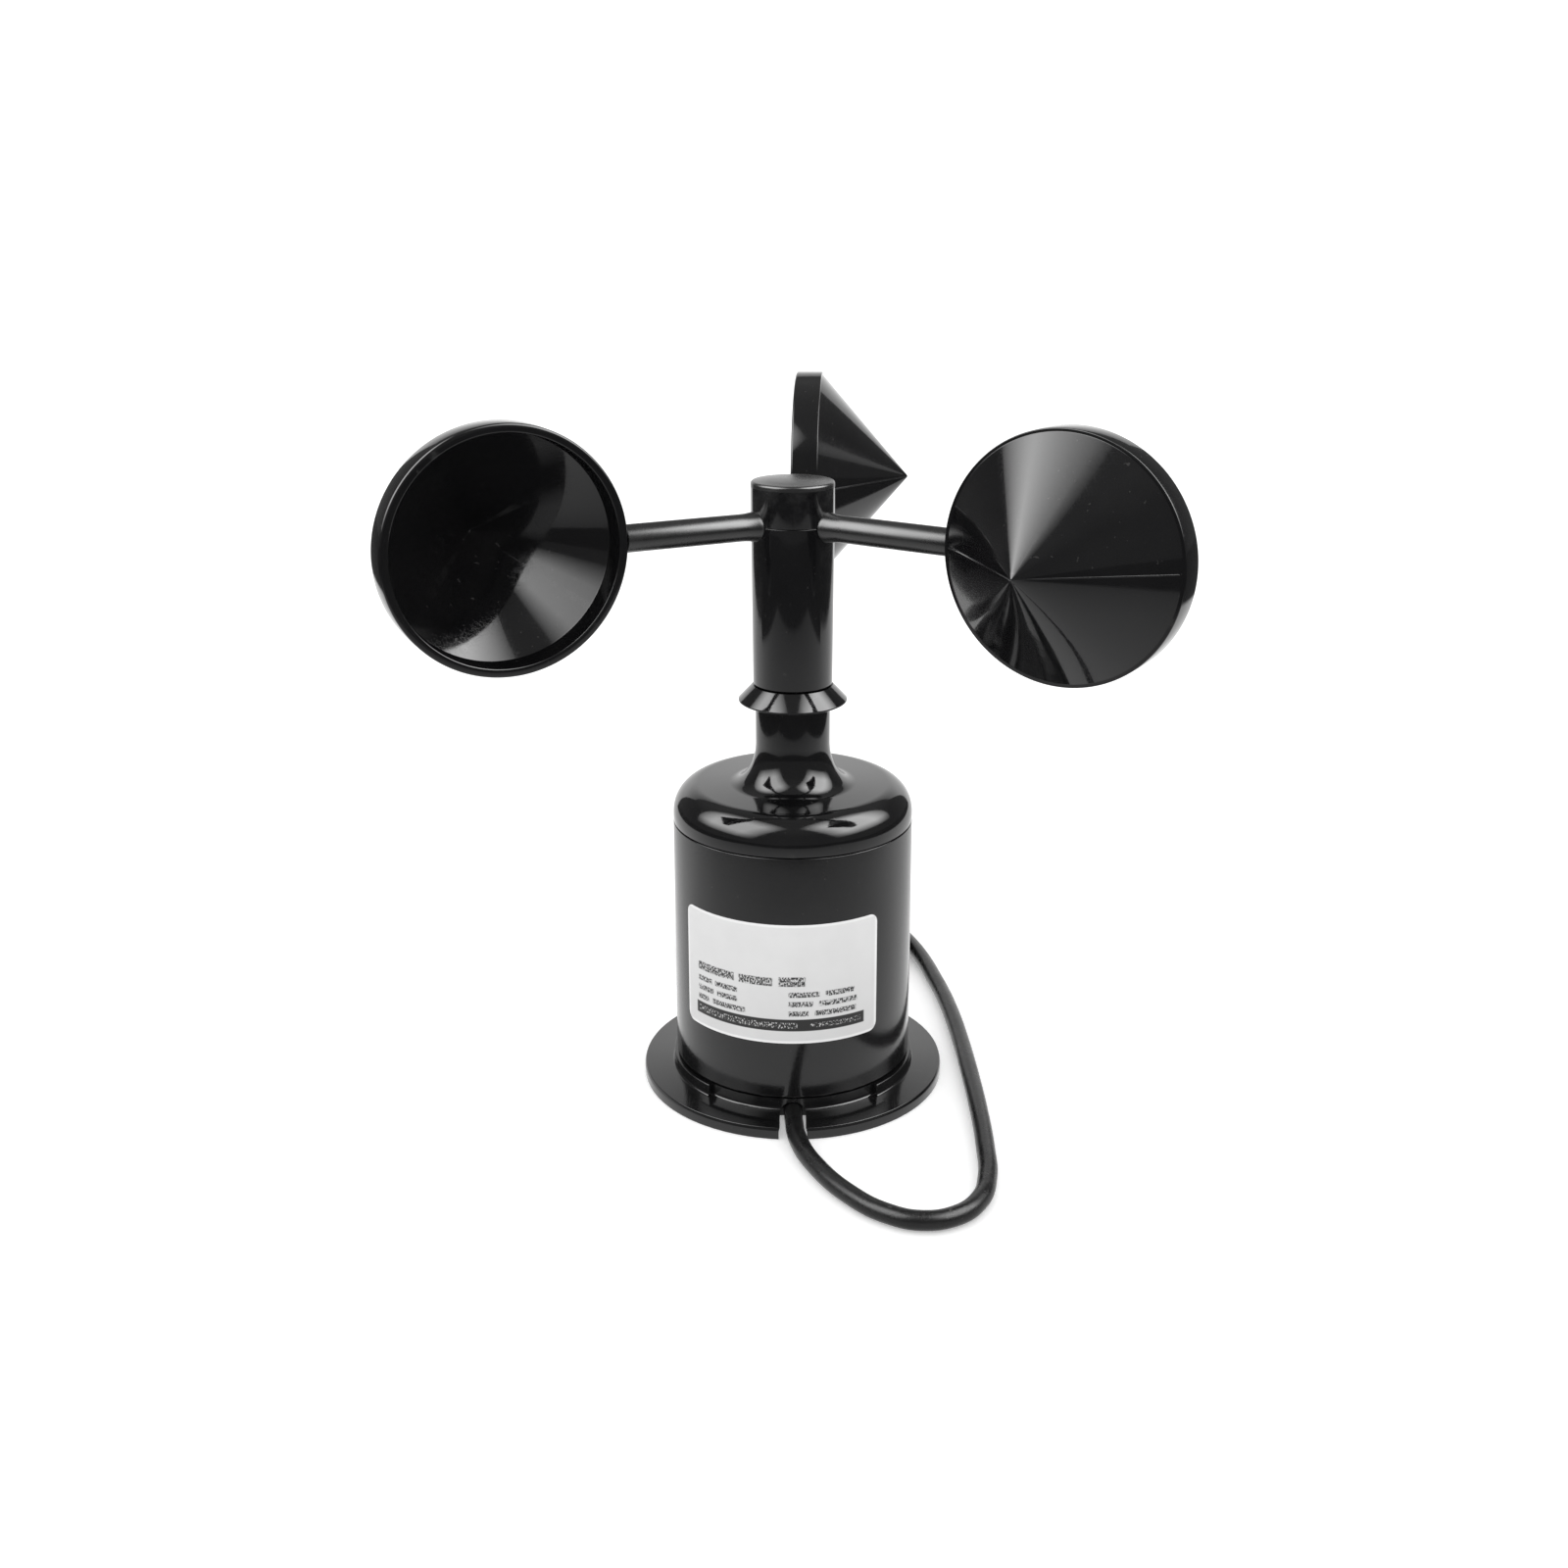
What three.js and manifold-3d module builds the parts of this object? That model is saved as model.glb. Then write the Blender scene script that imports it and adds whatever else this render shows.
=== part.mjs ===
// Three-cup anemometer with a current-loop output, on a round base flange.
// Millimetres, +Z up. The origin is the middle of the base's flat underside, on the rotor's axis.
// The cable slot faces -Y. Seen from above the rotor turns clockwise, cup points first.

import * as THREE from "three";
import { mergeVertices } from "three/addons/utils/BufferGeometryUtils.js";
import Module from "manifold-3d";

const wasm = await Module();
wasm.setup();

// ---- driving dimensions ----
const gap = 0.3;                 // between pieces that touch
const flange = { radius: 42.3, thickness: 3.3, chamfer: 0.8, plateTop: 4.6 };
const collar = { radius: 33.8, frontRadius: 32.4, top: 6.6, frontHalfAngle: 43 };
const slot = { halfWidth: 3.75, straight: 1.9, innerEnd: -25.8 };
const body = { radius: 33, wall: 2.5, bottom: 7.4, top: 75.8 };
const spigot = { outer: 30.2, inner: 27.3, lowerTop: 13, upperBottom: 69.5 };
const ring = { groove: 28.75, centre: 29.65, thickness: 0.7 };
const shoulder = { start: 78, top: 86, width: 7, ceiling: 83.4 };
const neck = { radius: 10.15, flareFoot: 17.6, flareTop: 97.5, top: 108.6 };
const tube = { outer: 8.5, bore: 4.6, seat: 6.8, top: 150.4, upperSeat: 145.7, lowerSeat: 104.5 };
const skirt = { rim: 14.76, rimHeight: 109.8, top: 113.9, topRadius: 10.9 };
const bearing = { outer: 6.5, outerBore: 5.6, innerRim: 3.9, bore: 2.8, width: 4, upper: 146, lower: 100.2 };
const shaft = { radius: 2.5, bottom: 59, top: 166.9, clipHeight: 98.4, clipRoot: 2 };
const rotor = { turn: -3.4, armHeight: 158.1, seam: 158.2, hubRadius: 11.17, sleeveBottom: 114.3 };
const hub = { plugRadius: 8.8, plugBottom: 151.9, top: 168, wellRadius: 8.7, wellFloor: 161.8, capTop: 169.6 };
const arm = { radius: 3.63, pin: 2.6, root: 6.2, flare: 4.9, flareEnd: 16 };
const cup = { reach: 79.6, radius: 31.6, band: 7.9, coneRadius: 30.7, height: 34.4, wall: 2.3, rimSetback: 3.6 };
const tie = { reach: 25.4, radius: 1.5, head: 2.9, boss: 3.4, top: 80 };
const board = { radius: 29.4, bottom: 54, thickness: 1.6, postReach: 21, post: 2.9 };
const disc = { radius: 14, bottom: 64, thickness: 1.2, slots: 12 };
const label = { radius: 33.3, thickness: 0.2, from: -148.7, to: -47.3, bottom: 23.4, top: 57.4 };
const cord = { radius: 2.5, sides: 8, steps: 56, liesAt: 2.55 };
const coil = { y: 82, inner: 15.9, outer: 36.2, bottom: 1.6, top: 11.9, corner: 2 };

const sides = { large: 32, middle: 24, small: 12 };
const thirds = [90, 210, 330];
const boardThirds = [30, 150, 270];
const radians = THREE.MathUtils.degToRad;

// ---- materials ----
const finish = (color, roughness, metalness = 0) =>
  new THREE.MeshStandardMaterial({ color, roughness, metalness });
const glossBlack = () => finish(0x0b0b0c, 0.16);
const satinBlack = () => finish(0x151617, 0.34);
const steel = () => finish(0xb9bcc0, 0.3, 1);
const darkSteel = () => finish(0x4c4f53, 0.4, 1);
const brass = () => finish(0xc09a4a, 0.35, 1);
const rubber = () => finish(0x141414, 0.8);
const vinyl = (color) => finish(color, 0.5);

// ---- geometry helpers ----
const point = (x, y) => new THREE.Vector2(x, y);

// Points on an ellipse's arc from one angle to another, in degrees.
function arcPoints(x, y, rx, ry, from, to, steps) {
  return Array.from({ length: steps + 1 }, (_, i) => {
    const a = radians(from + ((to - from) * i) / steps);
    return point(x + rx * Math.cos(a), y + ry * Math.sin(a));
  });
}

// A solid of revolution about +Z from a profile of radius and height, up the outside first.
function turned(profile, count = 16) {
  const onAxis = profile[0].x === 0 && profile.at(-1).x === 0;
  const closed = onAxis ? profile : [...profile, profile[0].clone()];
  return new THREE.LatheGeometry(closed, count).rotateX(Math.PI / 2);
}

// A plain ring or, with no inner radius, a plain disc or pin.
function ringOf(inner, outer, bottom, top, count = 16) {
  const outside = [point(outer, bottom), point(outer, top)];
  if (inner === 0) return turned([point(0, bottom), ...outside, point(0, top)], count);
  return turned([...outside, point(inner, top), point(inner, bottom)], count);
}

function block(width, depth, height, x, y, bottom) {
  return new THREE.BoxGeometry(width, depth, height).translate(x, y, bottom + height / 2);
}

// An outline drawn in X and Z, pushed back along +Y.
function pushedBack(shape, front, length, curveSegments = 10) {
  const options = { depth: length, bevelEnabled: false, curveSegments };
  return new THREE.ExtrudeGeometry(shape, options).rotateX(Math.PI / 2).translate(0, front + length, 0);
}

// A flat outline in X and Y, raised along +Z.
function raised(shape, bottom, height, curveSegments = 12) {
  const options = { depth: height, bevelEnabled: false, curveSegments };
  return new THREE.ExtrudeGeometry(shape, options).translate(0, 0, bottom);
}

// A round section drawn along a smooth curve.
function tubeAlong(points, radius, count, steps) {
  const section = new THREE.Shape(arcPoints(0, 0, radius, radius, 0, 360 - 360 / count, count - 1));
  const extrudePath = new THREE.CatmullRomCurve3(points.map((p) => new THREE.Vector3(...p)));
  return new THREE.ExtrudeGeometry(section, { steps, extrudePath });
}

function toSolid(geometry) {
  const bare = geometry.clone();
  bare.deleteAttribute("normal");
  bare.deleteAttribute("uv");
  const merged = mergeVertices(bare, 1e-4);
  const corners = merged.index.array;
  const kept = [];
  for (let i = 0; i < corners.length; i += 3) {
    const [a, b, c] = corners.slice(i, i + 3);
    if (a !== b && b !== c && c !== a) kept.push(a, b, c);
  }
  const vertProperties = merged.attributes.position.array;
  return new wasm.Manifold(new wasm.Mesh({ numProp: 3, vertProperties, triVerts: new Uint32Array(kept) }));
}

function toGeometry(solid) {
  const mesh = solid.getMesh();
  const geometry = new THREE.BufferGeometry();
  geometry.setAttribute("position", new THREE.BufferAttribute(mesh.vertProperties, 3));
  geometry.setIndex(new THREE.BufferAttribute(mesh.triVerts, 1));
  return geometry;
}

// Joins the added pieces to the first, then cuts the removed ones away.
function shaped(first, { add = [], remove = [] }) {
  let solid = toSolid(first);
  for (const piece of add) solid = solid.add(toSolid(piece));
  for (const piece of remove) solid = solid.subtract(toSolid(piece));
  return toGeometry(solid);
}

const anemometer = new THREE.Group();

function place(name, geometry, material, parent = anemometer) {
  const mesh = new THREE.Mesh(geometry, material);
  mesh.name = name;
  parent.add(mesh);
  return mesh;
}

const polar = (reach, degrees) => [reach * Math.cos(radians(degrees)), reach * Math.sin(radians(degrees))];

// ---- base flange ----
function archOutline(halfWidth, bottom, straight) {
  const outline = new THREE.Shape();
  outline.moveTo(-halfWidth, bottom);
  outline.lineTo(halfWidth, bottom);
  outline.lineTo(halfWidth, straight);
  outline.absarc(0, straight, halfWidth, 0, Math.PI, false);
  return outline;
}

// The part of a ring that faces the cable slot.
function frontSector(inner, outer, halfAngle) {
  const from = radians(-90 - halfAngle);
  const to = radians(-90 + halfAngle);
  const outline = new THREE.Shape();
  outline.absarc(0, 0, outer, from, to, false);
  outline.absarc(0, 0, inner, to, from, true);
  return outline;
}

function baseFlange() {
  const { radius, thickness, chamfer, plateTop } = flange;
  const disk = turned([
    point(0, 0), point(radius, 0), point(radius, thickness - chamfer), point(radius - chamfer, thickness),
    point(collar.radius + 0.8, thickness), point(collar.radius, thickness + 0.8),
    point(collar.radius, collar.top), point(spigot.outer, collar.top),
    point(spigot.outer, 9), point(ring.groove, 9), point(ring.groove, 10.9), point(spigot.outer, 10.9),
    point(spigot.outer, spigot.lowerTop), point(spigot.inner, spigot.lowerTop),
    point(spigot.inner, plateTop), point(0, plateTop),
  ], sides.large);
  const front = frontSector(collar.frontRadius, collar.radius + 4, collar.frontHalfAngle);
  const remove = [raised(front, thickness, 6, 14)];
  const slotLength = slot.innerEnd + radius + 2;
  remove.push(pushedBack(archOutline(slot.halfWidth, -1, slot.straight), -radius - 2, slotLength));
  remove.push(block(6, 6.6, 8, 0, -22.6, 1.2));
  for (const angle of thirds) {
    const [x, y] = polar(tie.reach, angle);
    remove.push(ringOf(0, tie.radius + 0.4, -1, 20, sides.small).translate(x, y, 0));
    remove.push(ringOf(0, tie.head + 0.4, -1, 2.6, sides.small).translate(x, y, 0));
    remove.push(ringOf(0, tie.boss + gap, plateTop, 20, sides.small).translate(x, y, 0));
  }
  for (const angle of boardThirds) {
    const [x, y] = polar(insertReach, angle);
    remove.push(ringOf(0, 2.9, -1, 3.4, sides.small).translate(x, y, 0));
  }
  return shaped(disk, { remove });
}

// Threaded brass inserts in the underside take the screws of a mast plate.
const insertReach = 15;
function mountInsert() {
  return turned([
    point(2.2, 0.2), point(2.4, 0.2), point(2.6, 0.5), point(2.6, 3.1), point(1.6, 3.1), point(1.6, 0.8),
  ], sides.small);
}

// ---- housing ----
function housingBody() {
  const inner = body.radius - body.wall;
  return turned([
    point(body.radius - 0.4, body.bottom), point(body.radius, body.bottom + 0.4),
    point(body.radius, body.top - 0.2), point(body.radius - 0.2, body.top),
    point(inner, body.top), point(inner, body.bottom),
  ], sides.large);
}

function topHousing() {
  const { start, top, width, ceiling } = shoulder;
  const bottom = body.top + gap;
  const shell = turned([
    point(body.radius - 0.2, bottom), point(body.radius, bottom + 0.2),
    ...arcPoints(body.radius - width, start, width, top - start, 0, 90, 5),
    ...arcPoints(neck.flareFoot, neck.flareTop, neck.flareFoot - neck.radius, neck.flareTop - top, -90, -180, 5),
    point(neck.radius, neck.top), point(tube.outer, neck.top), point(tube.outer, tube.top),
    point(tube.seat, tube.top), point(tube.seat, tube.upperSeat), point(tube.bore, tube.upperSeat),
    point(tube.bore, tube.lowerSeat), point(tube.seat, tube.lowerSeat),
    point(tube.seat, 99.3), point(tube.seat + 0.7, 99.3), point(tube.seat + 0.7, 98.1), point(tube.seat, 98.1),
    point(tube.seat, ceiling), point(spigot.inner, ceiling), point(spigot.inner, spigot.upperBottom),
    point(spigot.outer, spigot.upperBottom), point(spigot.outer, 71.2), point(ring.groove, 71.2),
    point(ring.groove, 73.1), point(spigot.outer, 73.1), point(spigot.outer, bottom),
  ], sides.large);
  const postBottom = board.bottom + board.thickness + gap;
  const add = [];
  const remove = [];
  for (const angle of boardThirds) {
    const [x, y] = polar(board.postReach, angle);
    add.push(ringOf(0, board.post, postBottom, ceiling + 0.5, 12).translate(x, y, 0));
    remove.push(ringOf(0, 1.5, postBottom - 1, 66, 10).translate(x, y, 0));
  }
  for (const angle of thirds) {
    const [x, y] = polar(tie.reach, angle);
    add.push(ringOf(0, tie.boss, spigot.upperBottom + 0.5, ceiling + 0.5, sides.small).translate(x, y, 0));
    remove.push(ringOf(0, tie.radius + gap, 60, tie.top + 1, 12).translate(x, y, 0));
  }
  return shaped(shell, { add, remove });
}

function rainSkirt() {
  const bottom = neck.top + gap;
  return turned([
    point(10.2, bottom), point(10.9, bottom + 0.9), point(skirt.rim - 0.4, skirt.rimHeight - 0.6),
    point(skirt.rim, skirt.rimHeight), point(skirt.topRadius, skirt.top),
    point(tube.outer + gap, skirt.top), point(tube.outer + gap, bottom),
  ], sides.large);
}

function wrappedLabel() {
  const arc = radians(label.to - label.from);
  const sheet = new THREE.BoxGeometry(arc, label.top - label.bottom, label.thickness, 12, 1, 1);
  const at = sheet.attributes.position;
  for (let i = 0; i < at.count; i++) {
    const angle = radians(label.from) + arc / 2 + at.getX(i);
    const reach = label.radius + label.thickness / 2 + at.getZ(i);
    at.setXYZ(i, reach * Math.cos(angle), reach * Math.sin(angle), (label.bottom + label.top) / 2 + at.getY(i));
  }
  return sheet;
}

// ---- fasteners and seals ----
function tieScrew() {
  return turned([
    point(0, 1.4), point(1.3, 1.4), point(1.5, 0.4), point(tie.head - 0.5, 0.4), point(tie.head, 0.9),
    point(tie.head, 2.3), point(tie.radius, 2.3), point(tie.radius, tie.top - 0.8),
    point(tie.radius - 0.8, tie.top), point(0, tie.top),
  ], 12);
}

function boardScrew() {
  const head = board.bottom - gap;
  return turned([
    point(0, head - 1.1), point(1, head - 1.1), point(1.2, head - 1.9), point(2, head - 1.9), point(2.5, head - 1.3),
    point(2.5, head), point(1.2, head), point(1.2, 63.4), point(0, 64.4),
  ], 12);
}

function sealRing(height) {
  const section = arcPoints(ring.centre, height, ring.thickness, ring.thickness, 0, 300, 5);
  return turned(section, sides.large);
}

// ---- bearings ----
function bearingRing(inner, outer, bottom) {
  return ringOf(inner, outer, bottom, bottom + bearing.width, sides.middle);
}

function ballCage(bottom) {
  const middle = bottom + bearing.width / 2;
  const pitch = (bearing.outerBore + bearing.innerRim) / 2;
  const balls = Array.from({ length: 7 }, (_, i) => {
    const [x, y] = polar(pitch, (360 * i) / 7);
    return new THREE.OctahedronGeometry(0.78, 1).translate(x, y, middle);
  });
  return shaped(ringOf(pitch - 0.4, pitch + 0.4, middle - 1.2, middle + 1.2, sides.middle), { add: balls });
}

// A spring clip: a flat ring with a gap in it.
function springClip(inner, outer, bottom, height, opening) {
  const outline = new THREE.Shape();
  outline.absarc(0, 0, outer, radians(opening), radians(360 - opening), false);
  outline.absarc(0, 0, inner, radians(360 - opening), radians(opening), true);
  return raised(outline, bottom, height, 9);
}

// ---- rotor ----
function mainShaft() {
  const { radius, bottom, top, clipHeight, clipRoot } = shaft;
  return turned([
    point(0, bottom), point(radius - 0.4, bottom), point(radius, bottom + 0.4),
    point(radius, clipHeight), point(clipRoot, clipHeight), point(clipRoot, clipHeight + 0.9),
    point(radius, clipHeight + 0.9), point(radius, top - 0.5), point(radius - 0.5, top), point(0, top),
  ], sides.small);
}

// A cylinder along an arm's line, for the sockets that hold its pin.
function armSocket(radius, from, to, degrees) {
  return ringOf(0, radius, from, to, sides.small).rotateY(Math.PI / 2).rotateZ(radians(degrees))
    .translate(0, 0, rotor.armHeight);
}

function rotorHub() {
  const outside = rotor.seam + gap;
  const spider = turned([
    point(bearing.bore, hub.plugBottom), point(hub.plugRadius, hub.plugBottom),
    point(hub.plugRadius, outside), point(rotor.hubRadius, outside),
    point(rotor.hubRadius, hub.top), point(hub.wellRadius, hub.top),
    point(hub.wellRadius, hub.wellFloor), point(bearing.bore, hub.wellFloor),
  ], sides.middle);
  return shaped(spider, { remove: thirds.map((angle) => armSocket(arm.pin + gap, arm.root - gap, 14, angle)) });
}

function rotorSleeve() {
  const inner = hub.plugRadius + gap;
  const wall = turned([
    point(10.76, rotor.sleeveBottom), point(11.1, rotor.seam), point(inner, rotor.seam),
    point(inner, rotor.sleeveBottom),
  ], sides.middle);
  return shaped(wall, { remove: thirds.map((angle) => armSocket(arm.pin + gap, arm.root, 14, angle)) });
}

function hubCap() {
  const bottom = hub.top + gap;
  return turned([
    point(0, bottom), point(6.9, bottom), point(6.9, 165.8), point(8.4, 165.8), point(8.4, bottom),
    point(rotor.hubRadius, bottom), ...arcPoints(rotor.hubRadius - 0.7, hub.capTop - 0.7, 0.7, 0.7, 0, 90, 2),
    point(0, hub.capTop),
  ], sides.middle);
}

function hubNut() {
  const outline = new THREE.Shape(arcPoints(0, 0, 4.6, 4.6, 0, 300, 5));
  outline.holes.push(new THREE.Path(arcPoints(0, 0, bearing.bore, bearing.bore, 0, 340, 17).reverse()));
  return raised(outline, 163.1, 3);
}

// The arm's root follows the hub's round wall; its pin is clamped between hub and sleeve.
function rotorArm() {
  const end = cup.reach - cup.radius - gap;
  const rod = turned([
    point(0, 9.6), point(arm.flare, 9.6), point(arm.flare, 11),
    ...arcPoints(arm.flare, arm.flareEnd, arm.flare - arm.radius, 4.6, -90, -180, 3),
    point(arm.radius, end), point(2.2, end), point(2.2, end + 1.7), point(0, end + 1.7),
  ], sides.small).rotateY(Math.PI / 2);
  const pin = ringOf(0, arm.pin, arm.root, 13, sides.small).rotateY(Math.PI / 2);
  const wall = ringOf(0, rotor.hubRadius + gap, -9, 9, sides.middle);
  const outside = toSolid(rod).subtract(toSolid(wall));
  return toGeometry(outside.add(toSolid(pin)));
}

// The cup opens at its rim and comes to a point at its height, along +Z.
function windCup() {
  const { radius, band, coneRadius, height, wall } = cup;
  const shell = turned([
    point(0, height - wall), point(radius - wall - 0.2, band - 1), point(radius - wall, 0.4),
    point(radius - wall + 0.4, 0), point(radius - 0.4, 0), point(radius, 0.4), point(radius, band),
    point(coneRadius, band), point(0.8, height - 0.5), point(0, height - 0.3),
  ], sides.large);
  const socket = ringOf(0, 2.5, -radius - 2, -radius + 1.7, sides.small)
    .rotateY(Math.PI / 2).translate(0, 0, cup.rimSetback);
  return shaped(shell, { remove: [socket] });
}

function encoderDisc() {
  const outline = new THREE.Shape(arcPoints(0, 0, disc.radius, disc.radius, 0, 350, 35));
  outline.holes.push(new THREE.Path(arcPoints(0, 0, bearing.bore, bearing.bore, 0, 340, 17).reverse()));
  for (let i = 0; i < disc.slots; i++) {
    const middle = (360 * i) / disc.slots;
    const corners = [[9.4, -9], [12.8, -7], [12.8, 7], [9.4, 9]].map(([reach, turn]) => polar(reach, middle + turn));
    outline.holes.push(new THREE.Path(corners.map(([x, y]) => point(x, y)).reverse()));
  }
  return raised(outline, disc.bottom, disc.thickness);
}

function discHub() {
  const sleeve = turned([
    point(5.5, 59.4), point(5.5, disc.bottom - gap), point(bearing.bore, disc.bottom - gap), point(bearing.bore, 59.4),
  ]);
  const thread = ringOf(0, 1.3, 1, 8, 12).rotateY(Math.PI / 2).translate(0, 0, 61.4);
  return shaped(sleeve, { remove: [thread] });
}

// ---- electronics ----
function circuitBoard() {
  const outline = new THREE.Shape(arcPoints(0, 0, board.radius, board.radius, 0, 350, 35));
  const drill = (reach, degrees, radius) => {
    const [x, y] = polar(reach, degrees);
    outline.holes.push(new THREE.Path(arcPoints(x, y, radius, radius, 0, 330, 11).reverse()));
  };
  thirds.forEach((angle) => drill(tie.reach, angle, tie.radius + 0.6));
  boardThirds.forEach((angle) => drill(board.postReach, angle, 1.6));
  return raised(outline, board.bottom, board.thickness);
}

// A forked light gate that straddles the slotted disc.
function lightGate() {
  const foot = board.bottom + board.thickness + gap;
  const outline = new THREE.Shape([
    point(10.2, foot), point(18.2, foot), point(18.2, 69.6), point(10.2, 69.6), point(10.2, 66.6),
    point(15, 66.6), point(15, 62.6), point(10.2, 62.6),
  ]);
  return pushedBack(outline, -4, 8).rotateZ(Math.PI / 2);
}

function terminalBlock() {
  const top = board.bottom - gap;
  const wells = [-5, 0, 5].flatMap((x) => [
    block(3, 3.4, 4, x, -12.5, top - 9.5), ringOf(0, 1.5, 2.5, 6, 12).rotateX(-Math.PI / 2).translate(x, -12, top - 4),
  ]);
  return shaped(block(15.4, 8, 9, 0, -12.5, top - 9), { remove: wells });
}

function signalChip() {
  return block(7.6, 5, 1.8, -12, -4, board.bottom + board.thickness + gap);
}

function supplyCapacitor() {
  const foot = board.bottom + board.thickness + gap;
  return turned([
    point(0, foot), point(3, foot), point(3, foot + 1), point(2.8, foot + 1.3), point(3, foot + 1.6),
    point(3, foot + 6.6), point(2.6, foot + 7), point(0, foot + 7),
  ], 20).translate(8, -17, 0);
}

// ---- cable ----
const bushing = { from: -29.8, length: 3.7 };

function cableBushing() {
  const outline = archOutline(slot.halfWidth - gap, gap, slot.straight);
  return pushedBack(outline, bushing.from, bushing.length);
}

function innerLead(x) {
  return tubeAlong([
    [x * 0.45, -25.4, 3.3], [x * 0.45, -23.6, 3.9], [x * 0.5, -22.6, 6.4], [x * 0.7, -21.6, 14],
    [x * 1.1, -17.5, 26], [x * 1.2, -13.6, 36], [x, -12.5, 44.4],
  ], 0.6, 6, 18);
}

// The cable lies on the ground from the slot, round the +X side, to the coil behind the base.
const cableRoute = [
  [0, -30.1, 2.9], [0.3, -37, 2.75], [1.2, -45.5, 2.6], [5.6, -58.6, cord.liesAt], [15.2, -73.8, cord.liesAt],
  [22.6, -80.6, cord.liesAt], [31, -83.9, cord.liesAt], [39.8, -81.8, cord.liesAt], [46.2, -74.8, cord.liesAt],
  [49.2, -64.6, cord.liesAt], [50.2, -50, cord.liesAt], [50.4, -32, cord.liesAt], [50, -12, cord.liesAt],
  [49.2, 8, cord.liesAt], [47.8, 28, cord.liesAt], [45.2, 48, cord.liesAt], [39.3, 75.5, cord.liesAt],
];

function coilRing() {
  const { inner, outer, bottom, top, corner } = coil;
  return turned([
    point(inner + corner, bottom), point(outer - corner, bottom), point(outer, bottom + corner),
    point(outer, top - corner), point(outer - corner, top), point(inner + corner, top),
    point(inner, top - corner), point(inner, bottom + corner),
  ], sides.middle).translate(0, coil.y, 0);
}

// A strap round the coil's section, drawn in radius and height.
function coilTie(side) {
  const { inner, outer, bottom, top, corner } = coil;
  const loop = (grow) => {
    const [x0, x1, y0, y1] = [inner - grow, outer + grow, bottom - grow, top + grow];
    return [
      point(x0 + corner, y0), point(x1 - corner, y0), point(x1, y0 + corner), point(x1, y1 - corner),
      point(x1 - corner, y1), point(x0 + corner, y1), point(x0, y1 - corner), point(x0, y0 + corner),
    ];
  };
  const outline = new THREE.Shape(loop(1.5));
  outline.holes.push(new THREE.Path(loop(gap).reverse()));
  return pushedBack(outline, -1.8, 3.6).rotateZ(radians(side)).translate(0, coil.y, 0);
}

// The cable's end lies across the coil's top: a shrink sleeve, then three leads.
const tail = { height: coil.top + gap + 2.8, sleeveFrom: 4, sleeveTo: 20, y: coil.y + 6 };

function endSleeve() {
  return turned([
    point(0, tail.sleeveFrom), point(2.8, tail.sleeveFrom), point(2.8, tail.sleeveTo - 3),
    point(2, tail.sleeveTo), point(0, tail.sleeveTo),
  ], 16).rotateY(Math.PI / 2).translate(0, tail.y, tail.height);
}

function looseLead(side) {
  const start = tail.sleeveTo + gap;
  const rest = coil.top + gap + 0.6;
  return tubeAlong([
    [start, tail.y + side * 1.6, tail.height], [start + 2.5, tail.y + side * 1.9, tail.height - 0.4],
    [start + 6, tail.y + side * 3, rest + 0.4], [start + 11, tail.y + side * 5, rest],
  ], 0.6, 8, 8);
}

// ---- assembly: what stands still ----
place("base_flange", baseFlange(), satinBlack());
place("base_gasket", ringOf(30.6, 32, collar.top + 0.2, body.bottom - 0.2, sides.middle), rubber());
place("base_seal_ring", sealRing(9.95), rubber());
place("housing_body", housingBody(), satinBlack());
place("top_seal_ring", sealRing(72.15), rubber());
place("top_housing", topHousing(), glossBlack());
place("rain_skirt", rainSkirt(), glossBlack());
place("rating_label", wrappedLabel(), finish(0xd9dadb, 0.45));
thirds.forEach((angle, i) => {
  const [x, y] = polar(tie.reach, angle);
  place(`tie_screw_${i + 1}`, tieScrew(), steel()).position.set(x, y, 0);
});
boardThirds.forEach((angle, i) => {
  const [x, y] = polar(insertReach, angle);
  place(`mount_insert_${i + 1}`, mountInsert(), brass()).position.set(x, y, 0);
  const [u, v] = polar(board.postReach, angle);
  place(`board_screw_${i + 1}`, boardScrew(), steel()).position.set(u, v, 0);
});
place("circuit_board", circuitBoard(), finish(0x1f5a34, 0.5));
place("light_gate", lightGate(), finish(0x111111, 0.45));
place("terminal_block", terminalBlock(), finish(0x2f7d4c, 0.5));
place("signal_chip", signalChip(), finish(0x17181a, 0.5));
place("supply_capacitor", supplyCapacitor(), finish(0x1d2a4d, 0.4));
place("upper_outer_race", bearingRing(bearing.outerBore, bearing.outer, bearing.upper), steel());
place("lower_outer_race", bearingRing(bearing.outerBore, bearing.outer, bearing.lower), steel());
place("bearing_clip", springClip(5.4, 7.2, 98.35, 0.7, 14), darkSteel());

// ---- assembly: the ball cages ----
place("upper_ball_cage", ballCage(bearing.upper), steel());
place("lower_ball_cage", ballCage(bearing.lower), steel());

// ---- assembly: the rotor ----
const spinner = new THREE.Group();
spinner.rotation.z = radians(rotor.turn);
anemometer.add(spinner);
place("main_shaft", mainShaft(), steel(), spinner);
place("upper_inner_race", bearingRing(bearing.bore, bearing.innerRim, bearing.upper), steel(), spinner);
place("lower_inner_race", bearingRing(bearing.bore, bearing.innerRim, bearing.lower), steel(), spinner);
place("race_spacer", ringOf(bearing.bore, bearing.innerRim, 150.3, hub.plugBottom - gap), brass(), spinner);
place("shaft_clip", springClip(2.2, 4.4, 98.55, 0.6, 30), darkSteel(), spinner);
place("disc_hub", discHub(), brass(), spinner);
const grub = ringOf(0, 1, 2.9, 5.3, 12).rotateY(Math.PI / 2).translate(0, 0, 61.4);
place("grub_screw", grub, darkSteel(), spinner);
place("encoder_disc", encoderDisc(), darkSteel(), spinner);
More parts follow.
